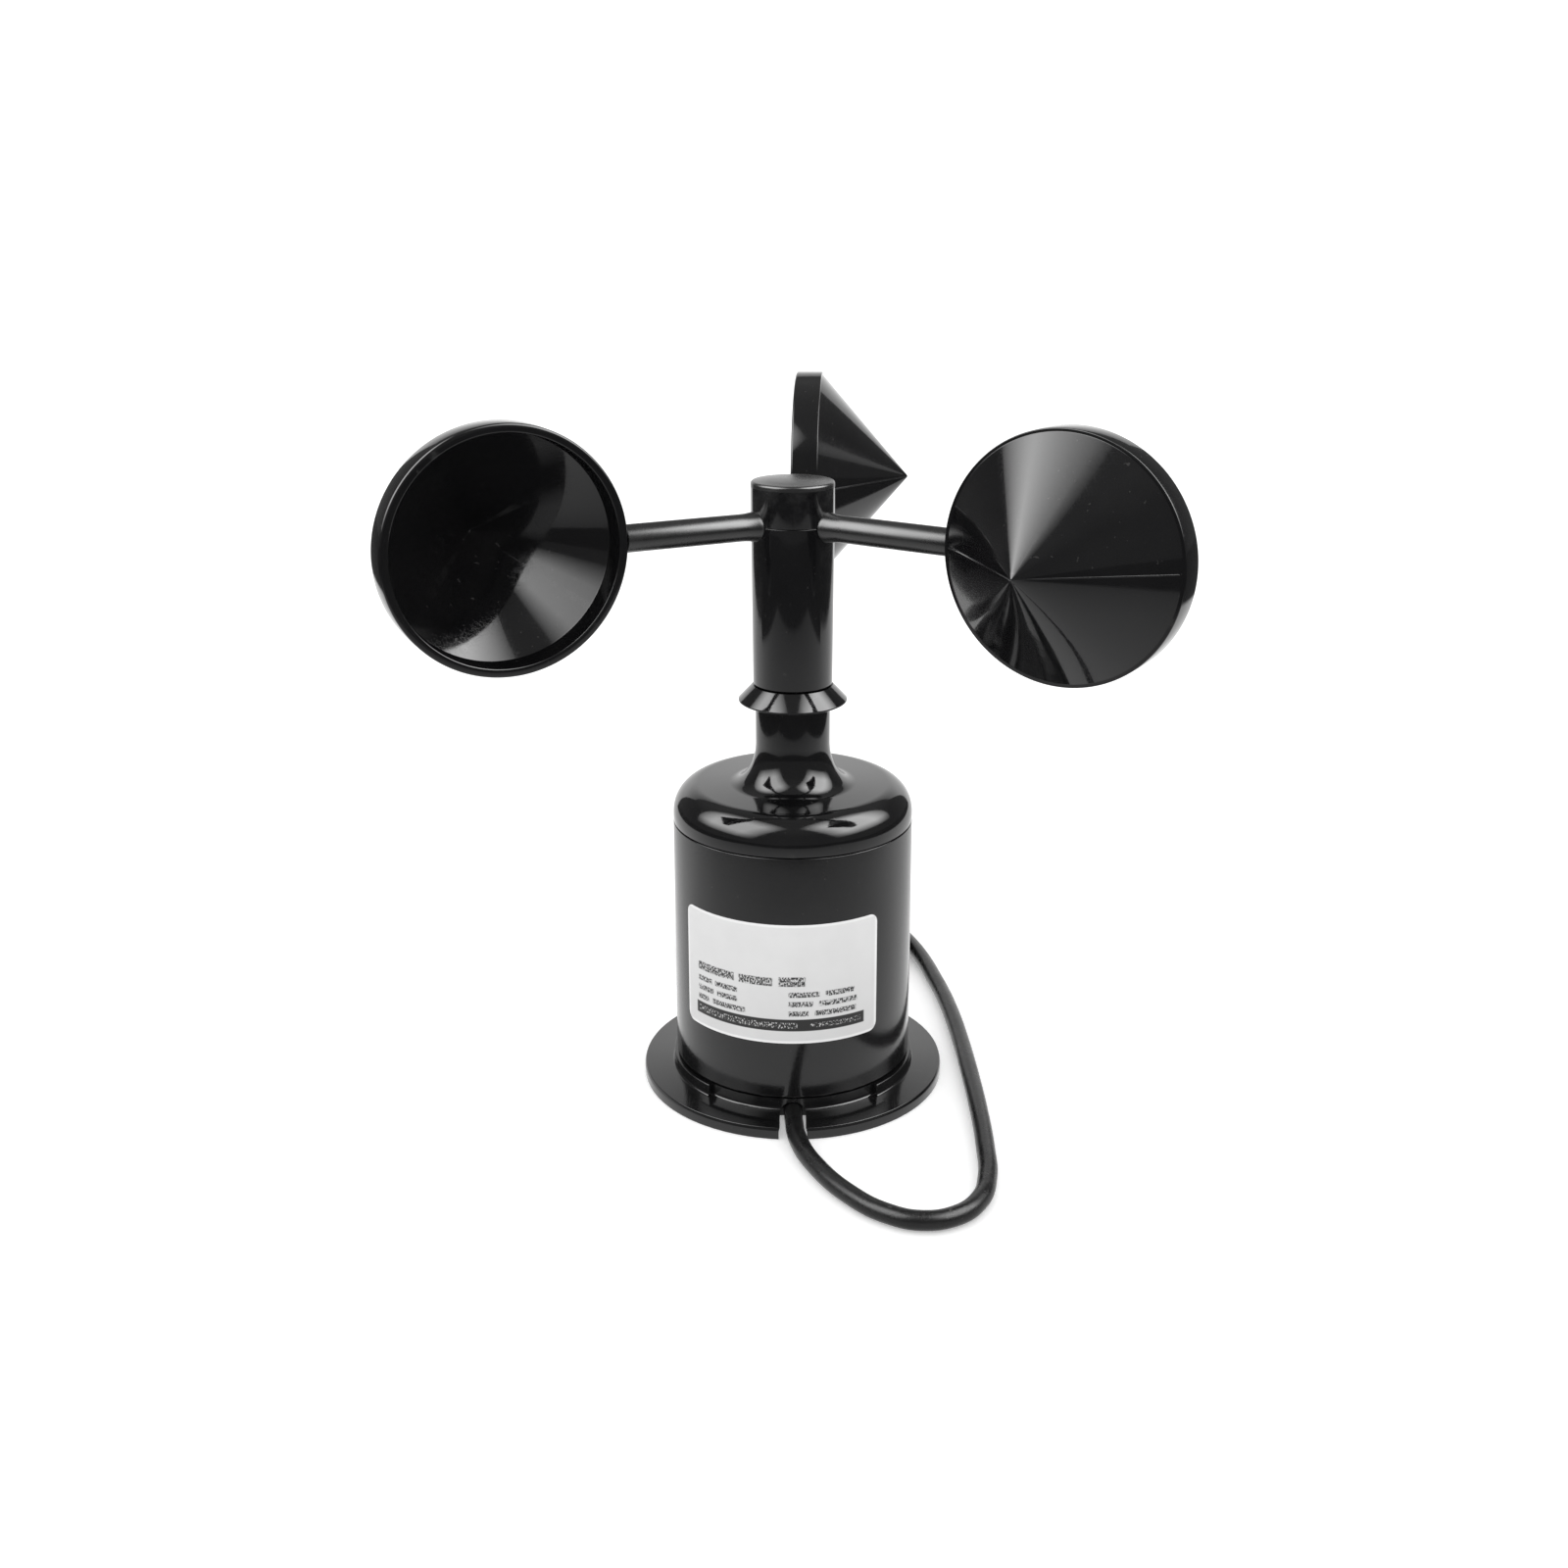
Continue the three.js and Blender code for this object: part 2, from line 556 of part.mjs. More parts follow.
place("disc_clamp", ringOf(bearing.bore, 5, disc.bottom + disc.thickness + gap, 67), brass(), spinner);
place("rotor_hub", rotorHub(), glossBlack(), spinner);
place("rotor_sleeve", rotorSleeve(), glossBlack(), spinner);
place("hub_washer", ringOf(bearing.bore, 5, hub.wellFloor + 0.2, 162.9), steel(), spinner);
place("hub_nut", hubNut(), steel(), spinner);
place("hub_cap", hubCap(), glossBlack(), spinner);
thirds.forEach((angle, i) => {
  const spoke = new THREE.Group();
  spoke.rotation.z = radians(angle);
  spoke.position.z = rotor.armHeight;
  spinner.add(spoke);
  place(`arm_${i + 1}`, rotorArm(), glossBlack(), spoke);
  const bowl = place(`cup_${i + 1}`, windCup(), glossBlack(), spoke);
  bowl.position.set(cup.reach, cup.rimSetback, 0);
  bowl.rotation.x = Math.PI / 2;
});

// ---- assembly: the cable ----
place("cable_bushing", cableBushing(), rubber());
place("inner_lead_red", innerLead(-4), vinyl(0xa81e1e));
place("inner_lead_black", innerLead(0), vinyl(0x16161a));
place("inner_lead_blue", innerLead(4), vinyl(0x1f3f96));
place("cable", tubeAlong(cableRoute, cord.radius, cord.sides, cord.steps), vinyl(0x17181a));
place("cable_coil", coilRing(), vinyl(0x17181a));
[-90, 90].forEach((side, i) => place(`coil_tie_${i + 1}`, coilTie(side), finish(0x101010, 0.4)));
place("end_sleeve", endSleeve(), rubber());
place("loose_lead_red", looseLead(1), vinyl(0xa81e1e));
place("loose_lead_black", looseLead(0), vinyl(0x16161a));
place("loose_lead_blue", looseLead(-1), vinyl(0x1f3f96));

export default anemometer;
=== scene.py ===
import math

import bpy
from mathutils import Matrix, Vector


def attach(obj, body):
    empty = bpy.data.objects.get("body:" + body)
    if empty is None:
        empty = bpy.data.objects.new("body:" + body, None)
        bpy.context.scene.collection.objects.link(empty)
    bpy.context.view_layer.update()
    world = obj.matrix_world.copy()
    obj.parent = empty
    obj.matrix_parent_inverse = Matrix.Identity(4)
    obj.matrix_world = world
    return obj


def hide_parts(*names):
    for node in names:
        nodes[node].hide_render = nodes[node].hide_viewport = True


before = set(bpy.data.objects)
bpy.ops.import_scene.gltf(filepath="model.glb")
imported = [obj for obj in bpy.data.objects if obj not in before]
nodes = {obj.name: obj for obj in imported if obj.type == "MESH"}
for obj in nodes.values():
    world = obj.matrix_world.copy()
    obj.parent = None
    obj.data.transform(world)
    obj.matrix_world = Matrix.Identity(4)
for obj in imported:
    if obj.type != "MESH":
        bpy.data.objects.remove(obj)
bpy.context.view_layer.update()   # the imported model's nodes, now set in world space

mm = 0.001
print("frame loaded,", len(nodes), "nodes")


# working habits: selection, placing, modifiers

def startEdit():
    bpy.ops.object.mode_set(mode="EDIT")


def endEdit():
    bpy.ops.object.mode_set(mode="OBJECT")


def clearSelection():
    if bpy.context.object and bpy.context.object.mode != "OBJECT":
        endEdit()
    bpy.ops.object.select_all(action="DESELECT")


def pickOnly(piece):
    clearSelection()
    piece.select_set(True)
    bpy.context.view_layer.objects.active = piece


def settleTransform():
    bpy.ops.object.transform_apply(location=True, rotation=True, scale=True)


def standAt(piece, place=(0, 0, 0), turn=(0, 0, 0)):
    # moves and turns a piece, in millimetres and degrees, and settles that into its mesh
    pickOnly(piece)
    piece.location = [v * mm for v in place]
    piece.rotation_euler = [math.radians(v) for v in turn]
    settleTransform()
    return piece


def copyOf(piece, name):
    # a copy with a mesh of its own
    twin = piece.copy()
    twin.data = piece.data.copy()
    twin.name = twin.data.name = name
    bpy.context.scene.collection.objects.link(twin)
    return twin


def smooth(piece, angle=30):
    pickOnly(piece)
    bpy.ops.object.shade_smooth_by_angle(angle=math.radians(angle))
    return piece


def useModifier(piece, kind, **settings):
    pickOnly(piece)
    modifier = piece.modifiers.new(kind.title(), kind)
    for key, value in settings.items():
        setattr(modifier, key, value)
    bpy.ops.object.modifier_apply(modifier=modifier.name)


def cutAway(piece, *cutters, operation="DIFFERENCE"):
    for cutter in cutters:
        useModifier(piece, "BOOLEAN", operation=operation, solver="EXACT", object=cutter)
        bpy.data.objects.remove(cutter)
    pickOnly(piece)
    startEdit()
    weld(2e-6)
    bpy.ops.mesh.delete_loose()
    endEdit()


def joinOn(piece, *extras):
    cutAway(piece, *extras, operation="UNION")


def selectAll():
    bpy.ops.mesh.select_all(action="SELECT")


def faceOutward():
    bpy.ops.mesh.normals_make_consistent(inside=False)
    endEdit()


def weld(reach=1e-6):
    # in edit mode: merges points that lie together, and leaves all selected
    selectAll()
    bpy.ops.mesh.remove_doubles(threshold=reach)
    selectAll()


def chooseEdges(piece, test):
    # leaves edit mode open with the edges whose two ends pass the test selected
    pickOnly(piece)
    startEdit()
    bpy.ops.mesh.select_mode(type="EDGE")
    bpy.ops.mesh.select_all(action="DESELECT")
    endEdit()
    points = [v.co / mm for v in piece.data.vertices]
    for edge in piece.data.edges:
        edge.select = test(points[edge.vertices[0]], points[edge.vertices[1]])
    startEdit()


# drawing and turning

def softened(corners, steps=5):
    # rounds each corner (radius, height, rounding) with a small arc
    line = []
    for i, corner in enumerate(corners):
        here = Vector(corner[:2])
        if len(corner) < 3 or i in (0, len(corners) - 1):
            line.append(tuple(here))
            continue
        back = (Vector(corners[i - 1][:2]) - here).normalized()
        ahead = (Vector(corners[i + 1][:2]) - here).normalized()
        half = back.angle(ahead) / 2
        centre = here + (back + ahead).normalized() * corner[2] / math.sin(half)
        start = here + back * corner[2] / math.tan(half) - centre
        end = here + ahead * corner[2] / math.tan(half) - centre
        sweep = start.angle_signed(end)
        for k in range(steps + 1):
            angle = -sweep * k / steps
            x = start.x * math.cos(angle) - start.y * math.sin(angle)
            y = start.x * math.sin(angle) + start.y * math.cos(angle)
            line.append((centre.x + x, centre.y + y))
    return line


def curved(x, y, rx, ry, start, end, steps):
    # points along an ellipse's arc, in degrees
    angles = [math.radians(start + (end - start) * k / steps) for k in range(steps + 1)]
    return [(x + rx * math.cos(a), y + ry * math.sin(a)) for a in angles]


def drawLine(name, line):
    # one vertex, extruded from point to point in the X-Z plane, and left in edit mode
    clearSelection()
    bpy.ops.mesh.primitive_plane_add(size=mm)
    piece = bpy.context.object
    piece.name = piece.data.name = name
    startEdit()
    bpy.ops.mesh.select_mode(type="VERT")
    selectAll()
    bpy.ops.mesh.merge(type="CENTER")
    points = [Vector((x * mm, 0, z * mm)) for x, z in line]
    bpy.ops.transform.translate(value=points[0])
    for a, b in zip(points, points[1:]):
        bpy.ops.mesh.extrude_vertices_move(TRANSFORM_OT_translate={"value": b - a})
    weld()
    return piece


def turned(name, line, sides=128, closed=True, sweep=360, angle=30):
    # spins a drawn line about Z; a closed line ends where it began, and an open one starts and ends on the axis
    piece = drawLine(name, line + line[:1] if closed else line)
    bpy.ops.mesh.spin(steps=sides, angle=math.radians(sweep), center=(0, 0, 0), axis=(0, 0, 1))
    weld()
    if sweep < 360:
        bpy.ops.mesh.select_all(action="DESELECT")
        bpy.ops.mesh.select_non_manifold()
        bpy.ops.mesh.edge_face_add()
        selectAll()
    faceOutward()
    return smooth(piece, angle)


def pushed(name, line, length, angle=30):
    # a closed outline in X and Z, filled and pushed back along +Y from the X-Z plane
    piece = drawLine(name, line + line[:1])
    bpy.ops.mesh.edge_face_add()
    bpy.ops.mesh.extrude_region_move(TRANSFORM_OT_translate={"value": (0, length * mm, 0)})
    selectAll()
    faceOutward()
    return smooth(piece, angle)


def rod(name, radius, low, high, sides=40):
    return turned(name, [(0, low), (radius, low), (radius, high), (0, high)], sides, closed=False)


def roundedBlock(size, rounding, segments, place=(0, 0, 0)):
    clearSelection()
    bpy.ops.mesh.primitive_cube_add(size=mm, location=[v * mm for v in place], scale=size)
    block = bpy.context.object
    settleTransform()
    startEdit()
    selectAll()
    bpy.ops.mesh.bevel(offset=rounding * mm, segments=segments, affect="EDGES")
    endEdit()
    return block


def polar(reach, degrees):
    return reach * math.cos(math.radians(degrees)), reach * math.sin(math.radians(degrees))


def settlePiece(piece, body, slot, *stoodFor, finish=None):
    # gives a finished piece its material, found from its slot unless a finish is given, puts it on its body and hides
    # the nodes it stands for
    piece.data.materials.clear()
    piece.data.materials.append(finish or finishOf(slot))
    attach(piece, body)
    if stoodFor:
        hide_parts(*stoodFor)
    return piece


# node helpers

def addNode(tree, kind, inputs=None, **settings):
    made = tree.nodes.new("ShaderNode" + kind)
    for key, value in settings.items():
        setattr(made, key, value)
    for key, value in (inputs or {}).items():
        if isinstance(value, bpy.types.NodeSocket):
            tree.links.new(value, made.inputs[key])
        else:
            made.inputs[key].default_value = value
    return made


def maths(tree, operation, a, b=0.0, clamp=False):
    return addNode(tree, "Math", {0: a, 1: b}, operation=operation, use_clamp=clamp).outputs[0]


def times(tree, a, b, clamp=False):
    return maths(tree, "MULTIPLY", a, b, clamp)


def plus(tree, a, b):
    return maths(tree, "ADD", a, b)


def split(tree, place):
    return addNode(tree, "SeparateXYZ", {0: place}).outputs


def remap(tree, value, low, high, toLow=0.0, toHigh=1.0):
    inputs = {"Value": value, "From Min": low, "From Max": high, "To Min": toLow, "To Max": toHigh}
    return addNode(tree, "MapRange", inputs).outputs[0]


def mixed(tree, factor, a, b, blend="MIX"):
    inputs = {0: factor, 6: a, 7: b}
    return addNode(tree, "Mix", inputs, data_type="RGBA", blend_type=blend).outputs[2]


def noise(tree, place, scale, detail=3.0, roughness=0.5):
    inputs = {"Vector": place, "Scale": scale, "Detail": detail, "Roughness": roughness}
    return addNode(tree, "TexNoise", inputs).outputs[0]


def greyNode(tree, value):
    return addNode(tree, "CombineColor", {0: value, 1: value, 2: value}).outputs[0]


def objectPlace(tree, scale=None):
    place = addNode(tree, "TexCoord").outputs["Object"]
    if scale:
        place = addNode(tree, "Mapping", {"Vector": place, "Scale": scale}).outputs[0]
    return place


def startGroup(name, inputs, outputs):
    group = bpy.data.node_groups.new(name, "ShaderNodeTree")
    for label, value in inputs.items():
        kind = "NodeSocketColor" if isinstance(value, tuple) else "NodeSocketFloat"
        group.interface.new_socket(label, in_out="INPUT", socket_type=kind).default_value = value
    for label in outputs:
        kind = "NodeSocketColor" if label == "Colour" else "NodeSocketFloat"
        group.interface.new_socket(label, in_out="OUTPUT", socket_type=kind)
    given = group.nodes.new("NodeGroupInput").outputs
    result = group.nodes.new("NodeGroupOutput").inputs
    return group, given, result


def sendOut(group, result, **values):
    for label, socket in values.items():
        group.links.new(socket, result[label])
    return group


# camera
view = {
    "place": (0, -462.4, 245.4),
    "tilt": 15.07,           # degrees below level
    "lens": 40.63,
    "shift": (-0.0056, -0.08),
}

clearSelection()
bpy.ops.object.camera_add(location=[v * mm for v in view["place"]],
                          rotation=(math.radians(90 - view["tilt"]), 0, 0))
camera = bpy.context.object
camera.name = "studioCamera"
camera.data.lens, camera.data.sensor_width = view["lens"], 36
camera.data.shift_x, camera.data.shift_y = view["shift"]
camera.data.clip_start, camera.data.clip_end = 0.01, 50
bpy.context.scene.camera = camera
bpy.context.scene.view_settings.view_transform = "Standard"
print("camera set")


# surface effects shared by the materials

def makeMouldedGrain():
    # slow clouding of colour and gloss, as on moulded plastic, with a fine grain for the bump
    group, given, result = startGroup("mouldedGrain", {
        "Colour": (0.01, 0.01, 0.01, 1), "Variation": 0.1, "Roughness": 0.2, "Spread": 0.03,
        "Cloud Scale": 45.0, "Grain Scale": 2500.0,
    }, ["Colour", "Roughness", "Height"])
    place = objectPlace(group)
    cloud = noise(group, place, given["Cloud Scale"], 4, 0.55)
    swing = times(group, remap(group, cloud, 0.3, 0.7, -1, 1), given["Variation"])
    shade = addNode(group, "VectorMath", {0: given["Colour"], 3: plus(group, swing, 1.0)},
                    operation="SCALE").outputs[0]
    smudge = noise(group, place, times(group, given["Cloud Scale"], 2.3), 5, 0.6)
    gloss = times(group, remap(group, smudge, 0.35, 0.65, -1, 1), given["Spread"])
    grain = noise(group, place, given["Grain Scale"], 2, 0.5)
    return sendOut(group, result, Colour=shade, Height=grain,
                   Roughness=plus(group, given["Roughness"], gloss))


def makeEdgeWear():
    # thin paler rubbing where an edge stands proud
    group, given, result = startGroup("edgeWear", {
        "Colour": (0.01, 0.01, 0.01, 1), "Worn Colour": (0.08, 0.08, 0.08, 1), "Amount": 0.3,
        "Roughness": 0.2, "Patch Scale": 180.0,
    }, ["Colour", "Roughness"])
    edge = remap(group, addNode(group, "NewGeometry").outputs["Pointiness"], 0.52, 0.6)
    patch = remap(group, noise(group, objectPlace(group), given["Patch Scale"], 5, 0.65), 0.42, 0.68)
    mask = times(group, times(group, edge, patch), given["Amount"], True)
    rougher = times(group, mask, 0.25)
    return sendOut(group, result, Colour=mixed(group, mask, given["Colour"], given["Worn Colour"]),
                   Roughness=plus(group, given["Roughness"], rougher))


def makeSettledDust():
    # specks on what faces up, and a faint film
    group, given, result = startGroup("settledDust", {
        "Colour": (0.01, 0.01, 0.01, 1), "Dust Colour": (0.35, 0.34, 0.33, 1), "Amount": 0.3,
        "Roughness": 0.2, "Speck Scale": 900.0,
    }, ["Colour", "Roughness"])
    where = addNode(group, "TexCoord")
    up = split(group, where.outputs["Normal"])[2]
    facing = remap(group, up, -0.2, 0.9, 0.15, 1.0)
    speck = remap(group, noise(group, where.outputs["Object"], given["Speck Scale"], 1, 0.4), 0.74, 0.79)
    film = remap(group, noise(group, where.outputs["Object"], 60.0, 4, 0.6), 0.4, 0.8, 0.0, 0.06)
    both = plus(group, times(group, speck, 0.5), film)
    mask = times(group, times(group, both, facing), given["Amount"], True)
    return sendOut(group, result, Colour=mixed(group, mask, given["Colour"], given["Dust Colour"]),
                   Roughness=plus(group, given["Roughness"], times(group, mask, 0.4)))


def makeFineScratches():
    # hairline marks from wiping, in two directions
    group, given, result = startGroup("fineScratches", {"Amount": 0.3, "Fineness": 1.0}, ["Height"])
    marks = []
    for turn, stretch in ((0.7, (60, 1400, 900)), (-0.5, (1300, 70, 1000))):
        place = addNode(group, "TexCoord").outputs["Object"]
        place = addNode(group, "Mapping", {"Vector": place, "Rotation": (0.4, turn, turn),
                                                     "Scale": stretch}).outputs[0]
        line = noise(group, place, given["Fineness"], 1, 0.4)
        marks.append(remap(group, maths(group, "ABSOLUTE", maths(group, "SUBTRACT", line, 0.5)), 0.0, 0.012, 1, 0))
    deepest = maths(group, "MAXIMUM", *marks)
    return sendOut(group, result, Height=times(group, deepest, given["Amount"]))


def makeBrushed():
    # fine turned or drawn lines for metal
    group, given, result = startGroup("toolMarks", {
        "Colour": (0.6, 0.6, 0.6, 1), "Roughness": 0.3, "Spread": 0.08, "Line Scale": 2600.0,
    }, ["Colour", "Roughness", "Height"])
    x, y, z = split(group, objectPlace(group))
    reach = maths(group, "SQRT", plus(group, times(group, x, x), times(group, y, y)))
    rings = addNode(group, "CombineXYZ", {0: reach, 2: z}).outputs[0]
    line = noise(group, rings, given["Line Scale"], 2, 0.6)
    tone = remap(group, line, 0.3, 0.7, 0.82, 1.1)
    colour = addNode(group, "VectorMath", {0: given["Colour"], 3: tone}, operation="SCALE").outputs[0]
    swing = times(group, remap(group, line, 0.3, 0.7, -1, 1), given["Spread"])
    return sendOut(group, result, Colour=colour, Height=line,
                   Roughness=plus(group, given["Roughness"], swing))


grainGroup, wearGroup, dustGroup = makeMouldedGrain(), makeEdgeWear(), makeSettledDust()
scratchGroup, toolGroup = makeFineScratches(), makeBrushed()


def useGroup(tree, group, **inputs):
    made = tree.nodes.new("ShaderNodeGroup")
    made.node_tree = group
    for key, value in inputs.items():
        label = key.replace("_", " ")
        if isinstance(value, bpy.types.NodeSocket):
            tree.links.new(value, made.inputs[label])
        else:
            made.inputs[label].default_value = value
    return made.outputs


def newMaterial(name):
    material = bpy.data.materials.new(name)
    material.use_nodes = True
    tree = material.node_tree
    return material, tree, tree.nodes["Principled BSDF"]


def feed(tree, shader, colour, roughness, height=None, depth=0.0):
    tree.links.new(colour, shader.inputs["Base Color"])
    tree.links.new(roughness, shader.inputs["Roughness"])
    if height is not None:
        bump = addNode(tree, "Bump", {"Height": height, "Strength": 1.0, "Distance": depth})
        tree.links.new(bump.outputs[0], shader.inputs["Normal"])


def grey(value):
    return (value, value, value, 1)


# plastics, rubber and vinyl: colour, gloss and how much each effect shows
usualPlastic = {"variation": 0.15, "roughness": 0.45, "spread": 0.05, "cloud": 300, "grain": 2500, "depth": 0.00001,
                "worn": grey(0.05), "wear": 0.2, "dust": 0.2, "scratch": 0.2, "ior": 1.5}
plastics = {
    "glossBlack": {"colour": (0.0042, 0.0042, 0.0046, 1), "variation": 0.2, "roughness": 0.055, "spread": 0.018,
        "cloud": 26, "grain": 420, "depth": 0.0000035, "wear": 0.35, "dust": 0.22, "scratch": 0.35},
    "spokeBlack": {"colour": (0.0045, 0.0045, 0.0048, 1), "variation": 0.2, "roughness": 0.27, "spread": 0.03,
        "cloud": 40, "grain": 1500, "depth": 0.000006, "worn": grey(0.07), "wear": 0.35,
        "scratch": 0.4, "ior": 1.68},
    "satinBlack": {"colour": (0.0058, 0.0058, 0.0061, 1), "roughness": 0.11, "spread": 0.025, "cloud": 30,
        "grain": 2200, "depth": 0.000009, "worn": grey(0.09), "wear": 0.35, "scratch": 0.3},
    "sealRubber": {"colour": (0.013, 0.013, 0.013, 1), "variation": 0.3, "roughness": 0.72, "spread": 0.08,
        "cloud": 120, "grain": 1800, "depth": 0.00003, "wear": 0.3, "dust": 0.6, "ior": 1.45},
    "cableVinyl": {"colour": (0.0035, 0.0035, 0.0037, 1), "variation": 0.25, "roughness": 0.29, "cloud": 60,
        "grain": 1500, "depth": 0.00002, "worn": grey(0.07), "dust": 0.25, "scratch": 0.5, "ior": 1.4},
    "tieNylon": {"colour": (0.01, 0.01, 0.01, 1), "roughness": 0.36, "cloud": 200, "grain": 1600,
        "worn": grey(0.08), "wear": 0.4, "dust": 0.3, "scratch": 0.3},
    "leadRed": {"colour": (0.36, 0.012, 0.012, 1), "worn": (0.5, 0.05, 0.05, 1), "ior": 1.48},
    "leadBlack": {"colour": (0.008, 0.008, 0.01, 1), "variation": 0.2, "ior": 1.48},
    "leadBlue": {"colour": (0.013, 0.05, 0.3, 1), "worn": (0.05, 0.1, 0.4, 1), "ior": 1.48},
    "componentBlack": {"colour": (0.01, 0.01, 0.011, 1), "variation": 0.2, "roughness": 0.5, "spread": 0.08,
        "grain": 4000, "worn": grey(0.06), "wear": 0.3, "dust": 0.3},
    "terminalGreen": {"colour": (0.028, 0.2, 0.075, 1), "variation": 0.12, "roughness": 0.42, "cloud": 200,
        "worn": (0.1, 0.3, 0.15, 1), "wear": 0.3},
    "capacitorBlue": {"colour": (0.012, 0.023, 0.09, 1), "variation": 0.1, "roughness": 0.32, "spread": 0.04,
        "cloud": 200, "grain": 2000, "depth": 0.000005, "worn": (0.08, 0.1, 0.2, 1), "wear": 0.3},
}


def makePlastic(name, look):
    material, tree, shader = newMaterial(name)
    look = {**usualPlastic, **look}
    base = useGroup(tree, grainGroup, Colour=look["colour"], Variation=look["variation"],
                    Roughness=look["roughness"], Spread=look["spread"],
                    Cloud_Scale=look["cloud"], Grain_Scale=look["grain"])
    worn = useGroup(tree, wearGroup, Colour=base["Colour"], Worn_Colour=look["worn"], Amount=look["wear"],
                    Roughness=base["Roughness"])
    dusty = useGroup(tree, dustGroup, Colour=worn["Colour"], Amount=look["dust"], Roughness=worn["Roughness"])
    scratched = useGroup(tree, scratchGroup, Amount=look["scratch"])
    height = maths(tree, "SUBTRACT", base["Height"], scratched["Height"])
    feed(tree, shader, dusty["Colour"], dusty["Roughness"], height, look["depth"])
    shader.inputs["IOR"].default_value = look["ior"]
    return material


metals = {
    "brightSteel": {"colour": (0.56, 0.57, 0.58, 1), "roughness": 0.24, "lines": 3000},
    "darkSteel": {"colour": (0.11, 0.115, 0.12, 1), "roughness": 0.36, "lines": 2500},
    "brass": {"colour": (0.6, 0.38, 0.12, 1), "roughness": 0.3, "lines": 2800},
    "tinnedCopper": {"colour": (0.55, 0.53, 0.5, 1), "roughness": 0.35, "lines": 5000, "spread": 0.1,
                     "depth": 0.00001},
}


def makeMetal(name, look):
    material, tree, shader = newMaterial(name)
    look = {"spread": 0.08, "depth": 0.000004, **look}
    marks = useGroup(tree, toolGroup, Colour=look["colour"], Roughness=look["roughness"],
                     Spread=look["spread"], Line_Scale=look["lines"])
    worn = useGroup(tree, wearGroup, Colour=marks["Colour"], Worn_Colour=grey(0.7), Amount=0.4,
                    Roughness=marks["Roughness"])
    feed(tree, shader, worn["Colour"], worn["Roughness"], marks["Height"], look["depth"])
    shader.inputs["Metallic"].default_value = 1.0
    return material


def makeBoard():
    # green resist with paler copper runs under it
    material, tree, shader = newMaterial("boardGreen")
    base = useGroup(tree, grainGroup, Colour=(0.012, 0.09, 0.03, 1), Variation=0.15, Roughness=0.38, Spread=0.05,
                    Cloud_Scale=150.0, Grain_Scale=3000.0)
    runs = addNode(tree, "TexBrick", {"Vector": objectPlace(tree), "Color1": grey(0), "Color2": grey(0),
                   "Mortar": grey(1), "Scale": 180.0, "Mortar Size": 0.03}).outputs[0]
    colour = mixed(tree, times(tree, runs, 0.6), base["Colour"], (0.05, 0.22, 0.07, 1))
    feed(tree, shader, colour, base["Roughness"], plus(tree, base["Height"], runs), 0.00001)
    return material


finishes = {name: makePlastic(name, look) for name, look in plastics.items()}
finishes.update({name: makeMetal(name, look) for name, look in metals.items()})
finishes["boardGreen"] = makeBoard()


def finishOf(slot):
    # gloss_black in the record is glossBlack here
    first, *rest = slot.split("_")
    return finishes.get(first + "".join(word.title() for word in rest))


for node in nodes.values():
    for held in node.material_slots:
        if finishOf(held.material.name):
            held.material = finishOf(held.material.name)
print("materials made,", len(finishes))


# cable, from the slot in the base round the side to a coil behind
cable = {
    "radius": 2.5,
    "route": [(0, -30.1, 2.9), (0.3, -37, 2.75), (1.2, -45.5, 2.6), (5.6, -58.6, 2.55), (15.2, -73.8, 2.55),
              (22.6, -80.6, 2.55), (31, -83.9, 2.55), (39.8, -81.8, 2.55), (46.2, -74.8, 2.55),
              (49.2, -64.6, 2.55), (50.2, -50, 2.55), (50.4, -32, 2.55), (50, -12, 2.55), (49.2, 8, 2.55),
              (47.8, 28, 2.55), (45.2, 48, 2.55), (39.3, 75.5, 2.7)],
    "coilY": 82,
    "outerTrack": 33.7,
    "innerTrack": 18.4,
    "pitch": 5.1,
    "lowLayer": 3.8,
    "highLayer": 8.85,
    "arrives": 22,      # degrees round the coil, counted on from turn to turn
    "leaves": 2628,
    "tailHeight": 13.95,
    "tailTurn": 13.35,
    "tailY": 88,
    "tailEnd": 7.0,
}


def eased(value):
    value = min(1, max(0, value))
    return value * value * (3 - 2 * value)


def coilPoint(turn):
    # four tracks inward on the lower layer, then outward on the upper one
    c = cable
    lower = sum(eased((turn - start) / 50) for start in (330, 690, 1050))
    upper = sum(eased((turn - start) / 50) for start in (1540, 1900, 2260))
    reach = c["outerTrack"] - c["pitch"] * (lower - upper)
    height = c["lowLayer"] + (c["highLayer"] - c["lowLayer"]) * eased((turn - 1380) / 70)
    height -= (c["lowLayer"] - 2.9) * eased((45 + c["arrives"] - turn) / 45)
    height += (c["tailHeight"] - c["highLayer"]) * eased((turn - 2614) / 32)
    x, y = polar(reach, turn)
    return x, y + c["coilY"], height


def tailPoints():
    # off the outer track, round a tighter bend and straight across the top
    c = cable
    x, y, _ = coilPoint(c["leaves"])
    heading = c["leaves"] % 360 + 90
    side = polar(c["tailTurn"], heading + 90)
    centre = (x + side[0], y + side[1])
    points = []
    for turn in range(15, int(361 - heading), 15):
        dx, dy = polar(c["tailTurn"], heading - 90 + turn)
        rise = eased((turn + 26) / 62)
        points.append((centre[0] + dx, centre[1] + dy,
                       c["highLayer"] + (c["tailHeight"] - c["highLayer"]) * rise))
    last = points[-1]
    while points[-1][0] < c["tailEnd"] - 3:
        points.append((points[-1][0] + 4, centre[1] - c["tailTurn"], last[2]))
    return points


cableLine = [Vector(p) * mm for p in cable["route"]]
cableLine += [Vector(coilPoint(t)) * mm for t in range(cable["arrives"] + 2, cable["leaves"], 20)]
cableLine += [Vector(p) * mm for p in tailPoints()]


